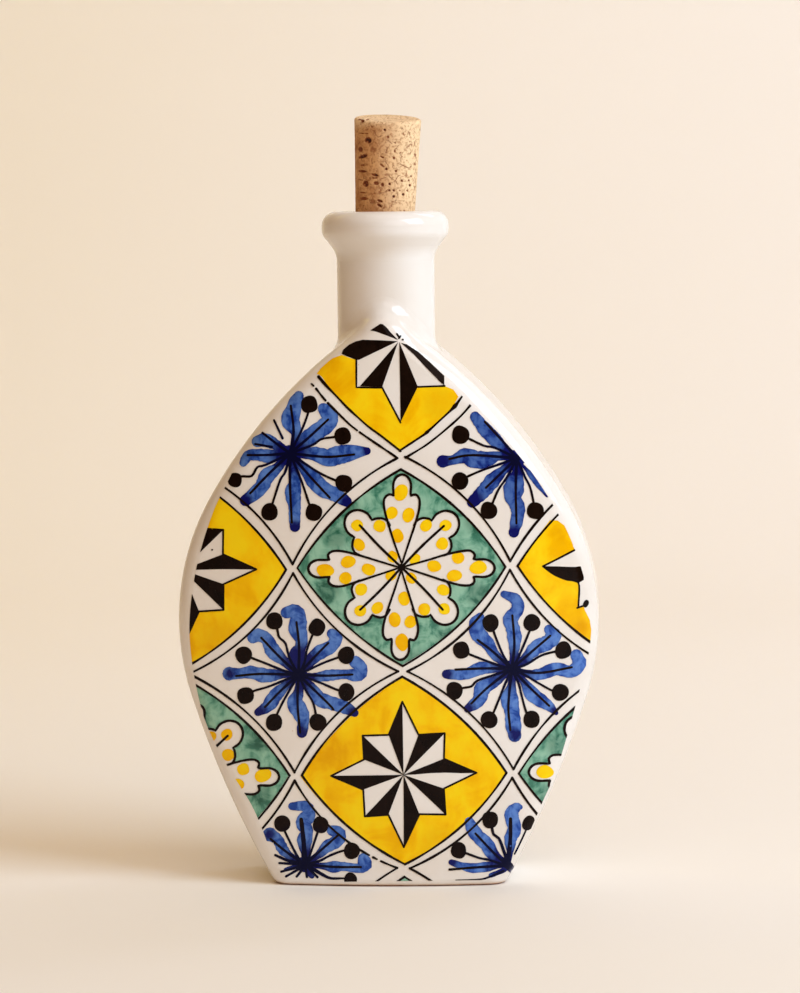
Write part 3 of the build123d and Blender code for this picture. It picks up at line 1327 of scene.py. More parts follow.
MIDDLE_RIGHT_BURST = Burst(
    shift=(0.0, 0.4),
    petals=(
        Petal(((0.7, 5.2, 3.0), (1.1, 10.5, 4.8), (0.3, 14.1, 4.6), (-0.3, 16.7, 4.8), (2.3, 20.0, 4.2),
              (1.6, 23.1, 4.0), (-2.3, 24.8, 2.4)), ((0.8, 8.0), (0.3, 17.7))),
        Petal(((4.6, 3.6, 3.2), (8.2, 6.9, 5.0), (11.7, 8.5, 5.0), (14.2, 10.6, 4.6), (12.3, 13.0, 3.6)),
              ((6.2, 5.4), (13.0, 11.0))),
        Petal(((4.9, -1.6, 2.6), (9.1, -1.8, 3.8), (14.7, -0.2, 4.4), (19.6, -1.3, 4.2), (22.2, 1.3, 4.6),
              (21.5, 4.3, 4.2)), ((9.0, -1.4), (19.7, 0.3))),
        Petal(((3.6, -3.9, 2.6), (6.5, -8.2, 4.8), (9.5, -10.8, 4.6), (12.4, -12.8, 3.4),
              (14.5, -14.9, 1.6)), ((5.8, -6.4), (12.1, -12.5)), dark_end=2.2),
        Petal(((0.0, -5.2, 2.8), (-0.8, -9.8, 5.8), (0.0, -14.1, 4.9), (0.2, -19.0, 5.3),
              (0.8, -22.2, 4.2)), ((-1.3, -12.5), (-0.5, -20.3)), dark_end=2.0),
        Petal(((-5.2, -3.9, 3.4), (-9.5, -6.6, 5.2), (-10.8, -10.2, 4.4), (-14.7, -13.1, 3.0)),
              ((-8.4, -6.4), (-13.5, -11.3)), dark_end=2.2),
        Petal(((-5.9, 0.0, 2.8), (-10.1, 0.3, 4.4), (-14.7, -1.3, 3.6), (-18.3, -1.8, 3.6),
              (-21.5, -1.5, 3.0)), ((-9.4, 0.2), (-18.7, 0.1)), dark_end=2.0),
        Petal(((-5.2, 4.6, 3.4), (-7.8, 8.5, 4.4), (-11.1, 12.1, 5.2), (-11.4, 15.4, 4.6),
              (-10.3, 17.5, 2.8)), ((-6.4, 6.0), (-11.1, 9.7))),
    ),
    stamens=(
        Stamen((6.8, 15.3), ((6.0, 12.5), (2.0, 3.3))),
        Stamen((16.9, 6.0), ((14.2, 5.5), (9.8, 4.3), (4.6, 1.3))),
        Stamen((16.0, -8.2), ((13.4, -7.5), (8.8, -4.9), (4.6, -2.3))),
        Stamen((6.4, -17.0), ((4.7, -14.6), (3.3, -9.5), (2.3, -5.2), (1.1, -2.6))),
        Stamen((-7.8, -17.0), ((-6.2, -14.6), (-4.2, -9.8), (-2.6, -5.9))),
        Stamen((-18.9, -7.0), ((-16.1, -6.2), (-13.4, -5.7), (-11.4, -3.8), (-5.9, -2.0))),
        Stamen((-16.6, 6.3), ((-13.7, 4.9), (-5.2, 1.5))),
        Stamen((-6.7, 15.5), ((-5.9, 12.6), (-4.2, 7.9), (-2.3, 3.6))),
    ),
)

BOTTOM_LEFT_BURST = Burst(
    shift=(2.8, 4.9),
    worn=(0.668, 0.792, 0.838),
    corner_moves={1: (-1.3, 3.3)},
    petals=(
        Petal(((0.3, 3.8, 2.8), (-0.2, 7.9, 5.2), (0.6, 11.1, 4.2), (-0.5, 14.0, 5.4), (1.4, 16.8, 4.4),
              (0.6, 19.4, 3.8), (-4.1, 19.7, 2.6)), ((-0.2, 8.0), (-0.9, 15.2)), vein_width=1.5),
        Petal(((5.0, 3.5, 2.8), (7.3, 5.7, 4.0), (10.7, 7.6, 4.4), (11.7, 10.2, 4.2), (9.1, 11.1, 3.8)),
              ((5.4, 4.6), (11.2, 9.4))),
        Petal(((6.0, -0.6, 2.2), (9.1, -1.1, 4.0), (12.9, -1.1, 3.0), (17.7, -1.6, 3.2), (20.2, -0.3, 4.6),
              (19.6, 1.9, 3.8)), ((9.4, -1.0), (18.6, -1.3))),
        Petal(((-5.4, 2.9, 2.6), (-7.3, 5.4, 3.8), (-9.1, 8.6, 3.6), (-11.6, 10.3, 4.6)), ((-6.2, 4.2),
              (-11.2, 8.6)), dark_end=1.8),
        Petal(((-3.0, -0.6, 1.6), (-6.2, -1.6, 1.4))),
        Petal(((1.0, -2.6, 1.6), (2.2, -4.0, 1.8))),
    ),
    stamens=(
        Stamen((-7.4, 13.9), ((-6.5, 11.1), (-2.2, 2.2)), 2.75),
        Stamen((5.3, 13.3), ((4.3, 10.5), (1.6, 2.9)), 2.75),
        Stamen((15.5, 4.3), ((12.8, 4.4), (8.5, 2.9), (4.7, 1.0)), 2.75),
    ),
    lines=(
        ((0.0, 0.0, 1.4), (2.2, -1.3, 1.2), (5.7, -3.5, 1.1), (8.5, -4.8, 0.9), (12.9, -4.9, 0.6)),
        ((-1.6, 0.6, 0.9), (-5.8, 1.4, 1.0), (-9.8, 3.2, 0.8)),
        ((-1.4, 0.0, 0.9), (-8.5, 0.5, 0.8)),
        ((-1.4, -0.6, 0.9), (-7.9, -2.4, 0.8)),
        ((-1.0, -1.0, 0.9), (-6.3, -4.0, 0.8)),
        ((-0.4, -1.2, 0.9), (-2.8, -4.1, 0.8)),
        ((0.2, -1.2, 0.9), (0.6, -4.3, 0.8)),
        ((0.9, -1.0, 0.9), (4.1, -4.4, 0.8)),
    ),
    blots=(Blot((15.1, -5.2), 2.2, 2.2),),
)

BOTTOM_RIGHT_BURST = Burst(
    shift=(-2.1, 3.7),
    corner_moves={3: (0.0, 3.3)},
    heart=Blot((0.4, -0.1), 1.4, 2.5, 0.6, Pigment.BLUE),
    petals=(
        Petal(((0.9, 3.3, 1.8), (1.2, 6.4, 3.2), (1.1, 9.1, 4.2), (2.4, 12.4, 4.4), (1.9, 15.4, 4.4),
              (1.7, 17.8, 4.6), (3.2, 19.6, 2.8), (4.3, 19.6, 1.8)), ((1.0, 8.0), (1.3, 15.8)),
              vein_width=1.3),
        Petal(((-1.8, 1.8, 1.8), (-4.9, 4.2, 4.4), (-6.8, 7.1, 4.6), (-9.7, 10.0, 4.4), (-11.5, 12.2, 4.4),
              (-12.4, 14.9, 3.2)), ((-4.2, 4.2), (-10.4, 10.7))),
        Petal(((-3.1, 0.0, 2.0), (-7.1, -0.4, 3.4), (-11.5, -0.9, 3.2), (-15.0, 0.0, 2.4),
              (-18.6, 1.2, 2.0)), ((-11.5, -0.6), (-19.4, -1.3)), dark_end=2.0),
        Petal(((-1.0, -1.5, 1.6), (-5.5, -3.2, 1.6))),
    ),
    stamens=(
        Stamen((-5.7, 15.3), ((-5.0, 12.7), (-4.4, 10.4), (-2.7, 9.1), (-1.3, 5.3), (-0.4, 2.4)), 2.8,
               line_width=1.0),
        Stamen((-16.2, 5.2), ((-13.5, 4.2), (-9.3, 2.6), (-6.0, 1.9), (-3.1, 0.9)), 2.7),
    ),
    lines=(
        ((-1.3, -1.8, 0.8), (-6.0, -3.8, 0.7), (-9.3, -4.6, 0.5), (-17.2, -4.8, 0.35)),
        ((6.4, 12.0, 0.5), (4.0, 6.9, 0.5), (2.4, 3.8, 0.5)),
        ((-1.0, 1.8, 2.0), (0.4, -0.1, 2.6), (1.8, -2.0, 2.2)),
    ),
    blots=(Blot((7.1, 14.2), 1.9, 2.6, -0.44),),
)


@dataclass
class BurstTile(Tile):
    """A white tile with a blue burst: wavy petals, black veins and dotted stamens."""

    setback: float = 1.5
    bow: float = -4.0
    burst: Burst = UPPER_LEFT_BURST
    slip: float = 0.18
    stroke_step: float = 0.9
    wash_reach: float = 70.0
    heart_pool: float = 9.5
    navy_reach: float = 16.0
    end_pool: float = 1.5
    blot_pool: float = 2.4
    heart_width: float = 1.8
    vein_press: tuple[float, ...] = (1.3, 1.0, 0.9)
    stamen_press: tuple[float, ...] = (1.0, 0.95, 1.2)
    dot_shape: Range = (0.97, 1.03)

    def sides(self, slip: float) -> list[list[Point]]:
        """Draws the tile's four sides, of which one may follow places of its own.

        Args:
            slip: How far the hand may miss a corner.

        Returns:
            The four sides.
        """
        sides = super().sides(slip)
        if self.burst.drawn_side:
            sides[self.burst.drawn_number] = smooth_path(self.burst.drawn_side, self.grid.step)
        return sides

    def paint(self, plan: PaintPlan) -> None:
        """Paints the border, the petals, the stamens and the heart.

        Args:
            plan: The plan that takes the marks.
        """
        burst = self.burst
        self.draw_border(plan)
        heart = self.spot(0.0, 0.0)
        plan.pool(Pigment.BLUE, heart, self.wash_reach, burst.density)
        for petal in burst.petals:
            self.paint_petal(plan, petal)
        for stamen in burst.stamens:
            self.paint_stamen(plan, stamen)
        for line in burst.lines:
            self.pressed_line(plan, line, self.stroke_step)
        for blot in (burst.heart, *burst.blots):
            self.lay_blot(plan, blot)
            if blot.pigment is Pigment.BLUE:
                plan.pool(Pigment.BLUE, self.spot(*blot.place), blot.across * self.blot_pool, 1.0)
        plan.pool(Pigment.BLUE, heart, self.heart_pool, 1.0)
        plan.pool(Pigment.BLACK, heart, self.navy_reach, 1.0)
        self.lay_blot(plan, self.heart_blot)

    def paint_petal(self, plan: PaintPlan, petal: Petal) -> None:
        """Paints one wavy petal with its vein and its dark, pooled end.

        Args:
            plan: The plan that takes the marks.
            petal: The petal.
        """
        heart = self.spot(0.0, 0.0)
        touches = [(*heart, min(self.heart_width, petal.way[0][2]))]
        for x, y, width in petal.way:
            touches.append((*self.hand.near(self.spot(x, y), self.slip), width))
        plan.lay(Pigment.BLUE, varied_stroke(touches, self.stroke_step, self.hand))
        if petal.dark_end > 0:
            x, y, _ = petal.way[-1]
            plan.pool(Pigment.BLUE, self.spot(x, y), petal.dark_end * self.end_pool, 1.0)
        if petal.vein:
            line = [self.hand.near(spot, self.slip) for spot in self.spots(petal.vein)]
            path = smooth_path([heart, *line], self.stroke_step)
            self.stroke(plan, path, petal.vein_width, self.vein_press)

    def paint_stamen(self, plan: PaintPlan, stamen: Stamen) -> None:
        """Paints one thin stamen that ends in a black dot.

        Args:
            plan: The plan that takes the marks.
            stamen: The stamen.
        """
        line = self.spots((stamen.dot, *stamen.way, (0.0, 0.0)))
        path = smooth_path(line, self.stroke_step)
        self.stroke(plan, path, stamen.line_width, self.stamen_press)
        dot = self.hand.near(self.spot(*stamen.dot), self.slip)
        across, along = (stamen.radius * share for share in self.dot_shape)
        plan.lay(Pigment.BLACK, dab(dot, across, along, self.hand))


@dataclass
class CrownTile(Tile):
    """The yellow tile at the top, whose star bends over the shoulder and is cut short."""

    heart_shift: Point = (0.0, 5.6)
    ground: Points = (
        (-27.0, -10.4), (-24.8, -7.6), (-21.6, -5.4), (-18.7, -4.4), (-14.0, -6.1), (-14.0, -15.2),
        (-5.6, -15.4), (0.3, -26.4), (6.0, -15.4), (14.8, -15.0), (17.8, -16.2), (19.4, -18.6),
        (17.4, -22.2), (8.2, -30.6), (0.0, -36.0), (-6.3, -31.2), (-13.8, -25.0), (-20.5, -18.2),
    )
    blades: tuple[Points, ...] = (
        ((-0.2, 0.3), (-9.6, 3.7), (-8.4, 4.9), (-6.5, 5.7), (-5.1, 5.5), (-3.9, 4.4), (-2.6, 2.8)),
        ((-0.3, -0.1), (-6.4, 0.3), (-11.7, 0.5), (-14.0, 0.0), (-16.3, -1.1), (-18.3, -2.8),
         (-18.7, -4.0), (-17.4, -4.7), (-14.0, -6.1), (-13.0, -6.0)),
        ((-0.2, -0.4), (-12.9, -14.7), (-5.6, -15.0)),
        ((0.2, -0.4), (0.3, -26.7), (6.1, -15.1)),
        ((0.8, -0.7), (4.9, -4.5), (8.7, -8.7), (13.6, -13.8), (14.8, -14.8), (14.8, -11.7),
         (10.6, -7.6), (6.4, -3.7), (2.6, -1.2)),
    )
    rims: tuple[Points, ...] = (
        ((-14.0, -6.0), (-14.1, -15.1), (-5.6, -15.3), (0.3, -26.9)),
        ((5.9, -15.2), (14.9, -15.0)),
        ((-0.6, 2.3), (0.3, 1.0)),
        ((0.6, 1.6), (0.1, 0.9)),
    )
    borders: tuple[tuple[Touch, ...], ...] = (
        ((-26.4, -11.5, 1.1), (-24.1, -14.3, 1.0), (-20.5, -18.1, 0.6), (-17.3, -21.6, 0.85),
         (-13.8, -24.9, 0.6), (-10.4, -28.0, 0.7), (-6.3, -31.1, 0.75), (0.2, -36.3, 0.7)),
        ((-0.2, -36.2, 0.7), (8.2, -30.8, 0.8), (8.9, -30.2, 1.2), (10.4, -28.9, 0.7),
         (16.8, -23.1, 0.75), (18.1, -21.8, 1.4), (19.1, -20.6, 0.9), (21.1, -17.8, 0.45)),
    )
    blots: tuple[Blot, ...] = (Blot((1.3, 0.4), 0.35, 0.3),)
    pools: tuple[Pool, ...] = (((13.0, -21.0), 8.0, 0.45), ((-19.0, -12.0), 7.0, 0.4))

    def paint(self, plan: PaintPlan) -> None:
        """Paints what the shoulder leaves of the ground, the star and the border.

        Args:
            plan: The plan that takes the marks.
        """
        plan.lay(Pigment.YELLOW, self.spots(self.ground)[::-1])
        for blade in self.blades:
            plan.lay(Pigment.BLACK, self.spots(blade))
        for border in self.borders:
            self.pressed_line(plan, border, self.grid.step)
        for rim in self.rims:
            self.stroke(plan, straight_path(self.spots(rim), self.grid.step), self.rim_width)
        for blot in self.blots:
            self.lay_blot(plan, blot)
        self.pool_up(plan, Pigment.YELLOW)


@dataclass
class TileScheme:
    """The tile pattern of one face, inside the edge where the face turns away."""

    seed: int
    grid: LatticeGrid = LatticeGrid()
    left_edge: Points = (
        (-0.5, 184.0), (-13.5, 175.5), (-22.5, 168.0), (-32.0, 159.8), (-41.6, 149.6), (-48.8, 139.0),
        (-53.6, 130.2), (-58.2, 120.8),
        (-63.5, 104.0), (-66.2, 86.0), (-65.4, 70.0), (-61.5, 52.0), (-54.5, 37.0), (-46.8, 24.0),
        (-42.0, 12.0), (-38.0, -2.3),
    )
    right_edge: Points = (
        (38.2, -2.3), (43.9, 10.2), (49.2, 22.3), (55.2, 36.3), (62.2, 60.1), (66.0, 76.0),
        (66.0, 90.0), (61.4, 107.5), (54.3, 122.5), (42.8, 139.5), (26.5, 157.0), (19.0, 165.5),
        (6.5, 181.0),
    )
    edge_step: float = 1.6
    seeds_per_face: int = 100

    def plan(self) -> PaintPlan:
        """Lays out the whole face.

        Returns:
            The plan with every tile's marks.
        """
        edges = (self.left_edge, self.right_edge)
        plan = PaintPlan([point for edge in edges for point in smooth_path(edge, self.edge_step)])
        for number, tile in enumerate(self.tiles()):
            tile.paint(plan)
            log.info("tile %d of seed %d painted: %s", number, self.seed, type(tile).__name__)
        return plan

    def hand(self, number: int) -> Hand:
        """Gives the hand that paints the tile of a number."""
        return Hand(self.seed * self.seeds_per_face + number)

    def tiles(self) -> Iterable[Tile]:
        """Gives each tile with its own hand.

        Returns:
            The tiles in painting order.
        """
        bursts = (
            (-1, 1, UPPER_LEFT_BURST),
            (1, 1, UPPER_RIGHT_BURST),
            (-1, -1, MIDDLE_LEFT_BURST),
            (1, -1, MIDDLE_RIGHT_BURST),
            (-1, -3, BOTTOM_LEFT_BURST),
            (1, -3, BOTTOM_RIGHT_BURST),
        )
        for number, (column, row, burst) in enumerate(bursts):
            yield BurstTile(
                self.grid.place(column, row),
                self.hand(number),
                self.grid,
                heart_shift=burst.shift,
                worn={0: burst.worn},
                corner_moves=burst.corner_moves,
                burst=burst,
            )
        raised_foot, raised_top = {2: (0.0, 2.4)}, {0: (0.0, 2.4)}
        others = (
            (StarTile, -2, 0, 20, {"blots": (Blot((9.8, 6.6), 0.3, 0.25),)}),
            (CutStarTile, 2, 0, 21, {}),
            (StarTile, 0, -2, 22, {"corner_moves": raised_foot}),
            (RosetteTile, 0, 0, 30, {}),
            (RosetteTile, -2, -2, 31, {}),
            (RosetteTile, 2, -2, 32, {}),
            (RosetteTile, 0, -4, 33, {"corner_moves": raised_top}),
            (CrownTile, 0, 2, 40, {}),
        )
        for kind, column, row, number, extras in others:
            yield kind(self.grid.place(column, row), self.hand(number), self.grid, **extras)


@dataclass(frozen=True)
class Viewpoint:
    """Where the photograph was taken from, which is also where the painter sits."""

    bearing: float = math.radians(4.0)
    rise: float = math.radians(5.0)
    distance: float = 1.2
    aside: float = 3.8 * MM
    aim_height: float = 126.1 * MM

    def turned(self, place: Vector) -> Vector:
        """Turns a place laid out straight ahead round the flask's axis, to face this viewpoint."""
        return Matrix.Rotation(self.bearing, 3, "Z") @ place

    def aim(self) -> Vector:
        """Gives the place in the middle of the view."""
        return self.turned(Vector((self.aside, 0.0, self.aim_height)))

    def outward(self) -> Vector:
        """Gives the direction from the aim to the eye."""
        return self.turned(Vector((0.0, -math.cos(self.rise), math.sin(self.rise))))

    def eye(self) -> Vector:
        """Gives the eye's place, in metres."""
        return self.aim() + self.outward() * self.distance


class Facing(Enum):
    """The two wide faces of the flask."""

    FRONT = 1
    BACK = -1

    def turn(self, place: Vector) -> Vector:
        """Turns a place made for the front half a turn about the axis, for the back."""
        return Vector((place.x * self.value, place.y * self.value, place.z))


class ClaySurface:
    """The flask's packed surface, as something that a line from the eye can touch."""

    def __init__(self, node: bpy.types.Object) -> None:
        """Reads the surface.

        Args:
            node: The flask's own object.
        """
        mesh = node.data
        self.corners = [[tuple(mesh.vertices[v].co) for v in face.vertices] for face in mesh.polygons]
        normals = np.empty(len(mesh.loops) * 3)
        mesh.corner_normals.foreach_get("vector", normals)
        normals = normals.reshape(-1, 3)
        self.normals = [
            normals[face.loop_start : face.loop_start + face.loop_total] for face in mesh.polygons
        ]
        vertices = [tuple(vertex.co) for vertex in mesh.vertices]
        self.tree = BVHTree.FromPolygons(vertices, [tuple(face.vertices) for face in mesh.polygons])

    def touch(self, eye: Vector, target: Vector) -> tuple[Vector, Vector] | None:
        """Finds where the line from the eye to a target first meets the surface.

        Args:
            eye: Where the line starts.
            target: A place that the line passes.

        Returns:
            The place and the smooth normal there, or None if the line misses.
        """
        place, _, index, _ = self.tree.ray_cast(eye, (target - eye).normalized())
        if place is None:
            return None
        weights = poly_3d_calc([Vector(corner) for corner in self.corners[index]], place)
        normal = Vector()
        for weight, corner_normal in zip(weights, self.normals[index]):
            normal += Vector(corner_normal) * weight
        return place, normal.normalized()


def inside(outline: np.ndarray, places: np.ndarray) -> np.ndarray:
    """Tells which places lie inside an outline.

    Args:
        outline: The outline's corners, one a row.
        places: The places, one a row.

    Returns:
        True for each place inside.
    """
    held = np.zeros(len(places), dtype=bool)
    x, y = places[:, 0], places[:, 1]
    for (start_x, start_y), (end_x, end_y) in zip(outline, np.roll(outline, -1, axis=0)):
        crosses = (start_y > y) != (end_y > y)
        if start_y != end_y:
            held ^= crosses & (x < (end_x - start_x) * (y - start_y) / (end_y - start_y) + start_x)
    return held


def anticlockwise(outline: Outline) -> Outline:
    """Returns an outline in anticlockwise order."""
    area = sum(a[0] * b[1] - b[0] * a[1] for a, b in zip(outline, [*outline[1:], outline[0]]))
    return outline if area > 0 else outline[::-1]


@dataclass
class PaintFilm:
    """One colour of one face, cut from its marks and laid on the clay as a thin closed film."""

    pigment: Pigment
    facing: Facing
    surface: ClaySurface
    viewpoint: Viewpoint
    fill_step: float = 1.2
    sink: float = 0.06 * MM
    merge_gap: float = 1e-4
    most_overlaps: int = 2

    def cut(self, plan: PaintPlan) -> tuple[list[Vector], list[tuple[int, int, int]], list[int]]:
        """Joins the colour's marks on the drawing plane and takes the gaps out of them.

        Args:
            plan: The face's marks.

        Returns:
            The corners, the triangles, and how many marks lie on each triangle.
        """
        marks = [anticlockwise(outline) for outline in plan.marks[self.pigment]]
        gaps = [anticlockwise(outline) for outline in plan.gaps[self.pigment]]
        outlines = [anticlockwise(plan.edge), *marks, *gaps]
        corners = [Vector(corner) for outline in outlines for corner in outline]
        faces = []
        start = 0
        for outline in outlines:
            faces.append(list(range(start, start + len(outline))))
            start += len(outline)
        corners += self.fillers(marks)
        only_inside, first_gap = 1, 1 + len(marks)
        joined = delaunay_2d_cdt(corners, [], faces, only_inside, self.merge_gap, True)
        places, _, triangles, _, _, sources = joined
        kept = []
        coats = []
        for triangle, held_by in zip(triangles, sources):
            count = sum(1 for source in held_by if 0 < source < first_gap)
            spared = any(source >= first_gap for source in held_by)
            if 0 in held_by and count and not spared:
                kept.append(tuple(triangle))
                coats.append(count)
        return list(places), kept, coats

    def fillers(self, marks: Sequence[Outline]) -> list[Vector]:
        """Spreads points inside the marks, so that the film can follow the clay.

        Args:
            marks: The colour's marks.

        Returns:
            The points.
        """
        every = np.array([corner for outline in marks for corner in outline])
        low, high = every.min(axis=0), every.max(axis=0)
        row_step = self.fill_step * math.sqrt(3) / 2
        rows = np.arange(low[1], high[1], row_step)
        columns = np.arange(low[0], high[0], self.fill_step)
        x, y = np.meshgrid(columns, rows)
        x[1::2] += self.fill_step / 2
        places = np.column_stack((x.ravel(), y.ravel()))
        held = np.zeros(len(places), dtype=bool)
        for outline in marks:
            shape = np.array(outline)
            near = ((places > shape.min(axis=0)) & (places < shape.max(axis=0))).all(axis=1) & ~held
            held[near] = inside(shape, places[near])
        return [Vector(place) for place in places[held]]

    def build(self, plan: PaintPlan) -> bpy.types.Object:
        """Lays the film on the clay.

        Args:
            plan: The face's marks.

        Returns:
            The film, riding on nothing yet.
        """
        places, triangles, coats = self.cut(plan)
        used = sorted({corner for triangle in triangles for corner in triangle})
        eye = self.facing.turn(self.viewpoint.eye())
        tops: dict[int, int] = {}
        vertices: list[Vector] = []
        normals: list[Vector] = []
        pooled: list[float] = []
        for corner in used:
            across, up = places[corner]
            drawn = self.viewpoint.turned(Vector((across * MM, 0.0, up * MM)))
            met = self.surface.touch(eye, self.facing.turn(drawn))
            if met is None:
                continue
            place, normal = met
            tops[corner] = len(vertices)
            vertices.append(place + normal * self.pigment.lift)
            normals.append(normal)
            pooled.append(plan.ink(self.pigment, (across, up)))
        kept = [(t, c) for t, c in zip(triangles, coats) if all(corner in tops for corner in t)]
        top_faces = [tuple(tops[corner] for corner in triangle) for triangle, _ in kept]
        count = len(vertices)
        thickness = self.pigment.lift + self.sink
        vertices += [vertex - normal * thickness for vertex, normal in zip(vertices, normals)]
        edges = {}
        for face in top_faces:
            for start, end in zip(face, (*face[1:], face[0])):
                edges[(start, end)] = edges.get((end, start), 0)
        rims = [(start, end) for start, end in edges if (end, start) not in edges]
        for corner, _ in rims:
            pooled[corner] = min(1.0, pooled[corner] + self.pigment.rim_ink)
        under_faces = [tuple(corner + count for corner in reversed(face)) for face in top_faces]
        rim_faces = [(end, start, start + count, end + count) for start, end in rims]
        mesh = bpy.data.meshes.new(self.name)
        mesh.from_pydata([tuple(v) for v in vertices], [], [*top_faces, *under_faces, *rim_faces])
        mesh.shade_smooth()
        self.colour_in(mesh, pooled, [coat for _, coat in kept], count)
        shown = [*[tuple(normal) for normal in normals], *[tuple(-normal) for normal in normals]]
        mesh.normals_split_custom_set_from_vertices(shown)
        film = bpy.data.objects.new(self.name, mesh)
        bpy.context.scene.collection.objects.link(film)
        mesh.materials.append(self.pigment.finish.material())
        return film

    @property
    def name(self) -> str:
        """The film's name."""
        return f"{self.facing.name.lower()}_{self.pigment.value}"

    def colour_in(
        self, mesh: bpy.types.Mesh, pooled: Sequence[float], coats: Sequence[int], count: int
    ) -> None:
        """Stores how much colour lies at each corner of each face.

        Args:
            mesh: The film's mesh.
            pooled: The pooled share at each upper vertex.
            coats: How many marks lie on each upper face.
            count: The number of upper vertices.
        """
        ink = mesh.attributes.new("ink", "FLOAT", "CORNER")
        values = np.zeros(len(mesh.loops), dtype=np.float32)
        for face in mesh.polygons:
            coat = coats[face.index] if face.index < len(coats) else 1
            thick = self.pigment.overlap_ink * min(coat - 1, self.most_overlaps)
            for loop in face.loop_indices:
                share = pooled[mesh.loops[loop].vertex_index % count]
                values[loop] = min(1.0, share + thick * (1 - share))
        ink.data.foreach_set("value", values)


@dataclass
class PaintedFlask:
    """The ceramic flask: its glazed clay and the painting on both wide faces."""

    node: bpy.types.Object
    body: str = "flask"
    slot: str = "glazed_body"
    viewpoint: Viewpoint = Viewpoint()
    seeds: dict[Facing, int] = field(default_factory=lambda: {Facing.FRONT: 3, Facing.BACK: 8})

    def build(self) -> list[bpy.types.Object]:
        """Glazes the clay and paints both faces.

        Returns:
            The new pieces.
        """
        self.node.data.materials.clear()
        self.node.data.materials.append(WhiteGlaze().material())
        surface = ClaySurface(self.node)
        pieces = []
        for facing, seed in self.seeds.items():
            plan = TileScheme(seed).plan()
            for pigment in Pigment:
                film = PaintFilm(pigment, facing, surface, self.viewpoint).build(plan)
                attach(film, self.body)
                pieces.append(film)
        return pieces


@dataclass(frozen=True)
class CorkMark:
    """One dark dot, streak or lens on the cork's front, in millimetres.

    It is placed by how far it lies to the right of the cork's axis and above the flask's lip.
    """

    x: float
    height: float
    across: float
    up: float
    lean: float = 0.0
    dark: float = 1.0
    checked_reach: float = 1.6
    soft_edge: Range = (0.65, 1.35)

    def share(self, x: float, height: float) -> float:
        """Says how dark the mark is at a place on the front.

        Args:
            x: How far the place lies to the right of the axis.
            height: How far it lies above the lip.

        Returns:
            A share from 0 to 1.
        """
        off_x, off_y = x - self.x, height - self.height
        if abs(off_x) + abs(off_y) > self.checked_reach * (self.across + self.up):
            return 0.0
        lean = math.radians(self.lean)
        along = off_x * math.cos(lean) + off_y * math.sin(lean)
        aside = off_y * math.cos(lean) - off_x * math.sin(lean)
        gap = math.hypot(along / self.across, aside / self.up)
        return self.dark * (1 - blend_step(gap, *self.soft_edge))


FRONT_MARKS = tuple(
    CorkMark(*sizes)
    for sizes in (
        (-6.2, 23.0, 1.1, 1.0), (-8.7, 19.9, 0.75, 0.95, 0.0, 0.7), (-7.8, 17.7, 1.5, 0.55, 20.0, 0.95),
        (-7.8, 14.9, 0.6, 0.35, 0.0, 0.6), (-7.8, 12.9, 1.4, 0.35, 0.0, 0.8),
        (-3.7, 11.9, 1.2, 0.45, -15.0, 0.95), (-3.7, 10.9, 1.1, 0.25, 0.0, 0.6),
        (-3.2, 9.2, 0.9, 0.6, 0.0, 0.8), (-6.6, 8.9, 0.9, 1.0, 0.0, 0.9), (-1.1, 8.8, 0.5, 0.6, 0.0, 0.8),
        (-7.3, 6.0, 1.3, 0.3, 0.0, 0.5), (-7.0, 4.1, 1.4, 0.6, 0.0, 0.6), (-1.8, 3.5, 0.9, 0.4, -20.0, 0.85),
        (-1.9, 2.0, 0.9, 0.4, -35.0, 0.85), (-8.3, 29.2, 0.6, 0.55), (-9.2, 29.6, 0.5, 0.3, 0.0, 0.7),
        (-6.6, 29.7, 0.6, 0.3, 25.0, 0.7), (-5.1, 27.5, 0.35, 0.35, 0.0, 0.8),
        (-7.8, 25.2, 1.6, 0.25, 0.0, 0.6), (-4.6, 20.0, 1.2, 0.9, 0.0, 0.35), (-0.9, 26.5, 0.38, 0.38),
        (0.3, 24.3, 0.42, 0.42, 0.0, 0.7), (2.7, 22.4, 0.3, 0.3, 0.0, 0.6),
        (-0.1, 19.2, 0.35, 0.3, 0.0, 0.7), (2.6, 19.7, 0.33, 0.33, 0.0, 0.8),
        (4.6, 19.3, 0.3, 0.3, 0.0, 0.6), (2.4, 17.6, 0.42, 0.42), (-1.5, 17.8, 0.7, 0.33, -20.0, 0.95),
        (0.0, 13.9, 0.42, 0.42), (-1.4, 15.0, 1.0, 0.33, -30.0, 0.6), (3.2, 13.3, 0.38, 0.38, 0.0, 0.9),
        (0.3, 12.0, 0.9, 0.5, 0.0, 0.4), (5.2, 10.2, 0.36, 0.36),
        (8.2, 11.7, 0.3, 0.3, 0.0, 0.9), (7.5, 10.4, 0.3, 0.3, 0.0, 0.8), (7.9, 8.8, 0.36, 0.36),
        (7.1, 7.0, 0.3, 0.3, 0.0, 0.9), (1.2, 9.1, 0.38, 0.38), (1.2, 7.0, 0.33, 0.33, 0.0, 0.9),
        (2.6, 7.0, 0.38, 0.38), (2.7, 5.1, 0.42, 0.42), (5.8, 5.8, 0.42, 0.42),
        (4.6, 7.0, 0.3, 0.3, 0.0, 0.5), (6.4, 0.4, 0.33, 0.33, 0.0, 0.8), (9.3, 18.6, 0.35, 0.6, 0.0, 0.6),
        (9.4, 15.6, 0.3, 0.5, 0.0, 0.5), (2.3, 30.6, 0.33, 0.33),
    )
)


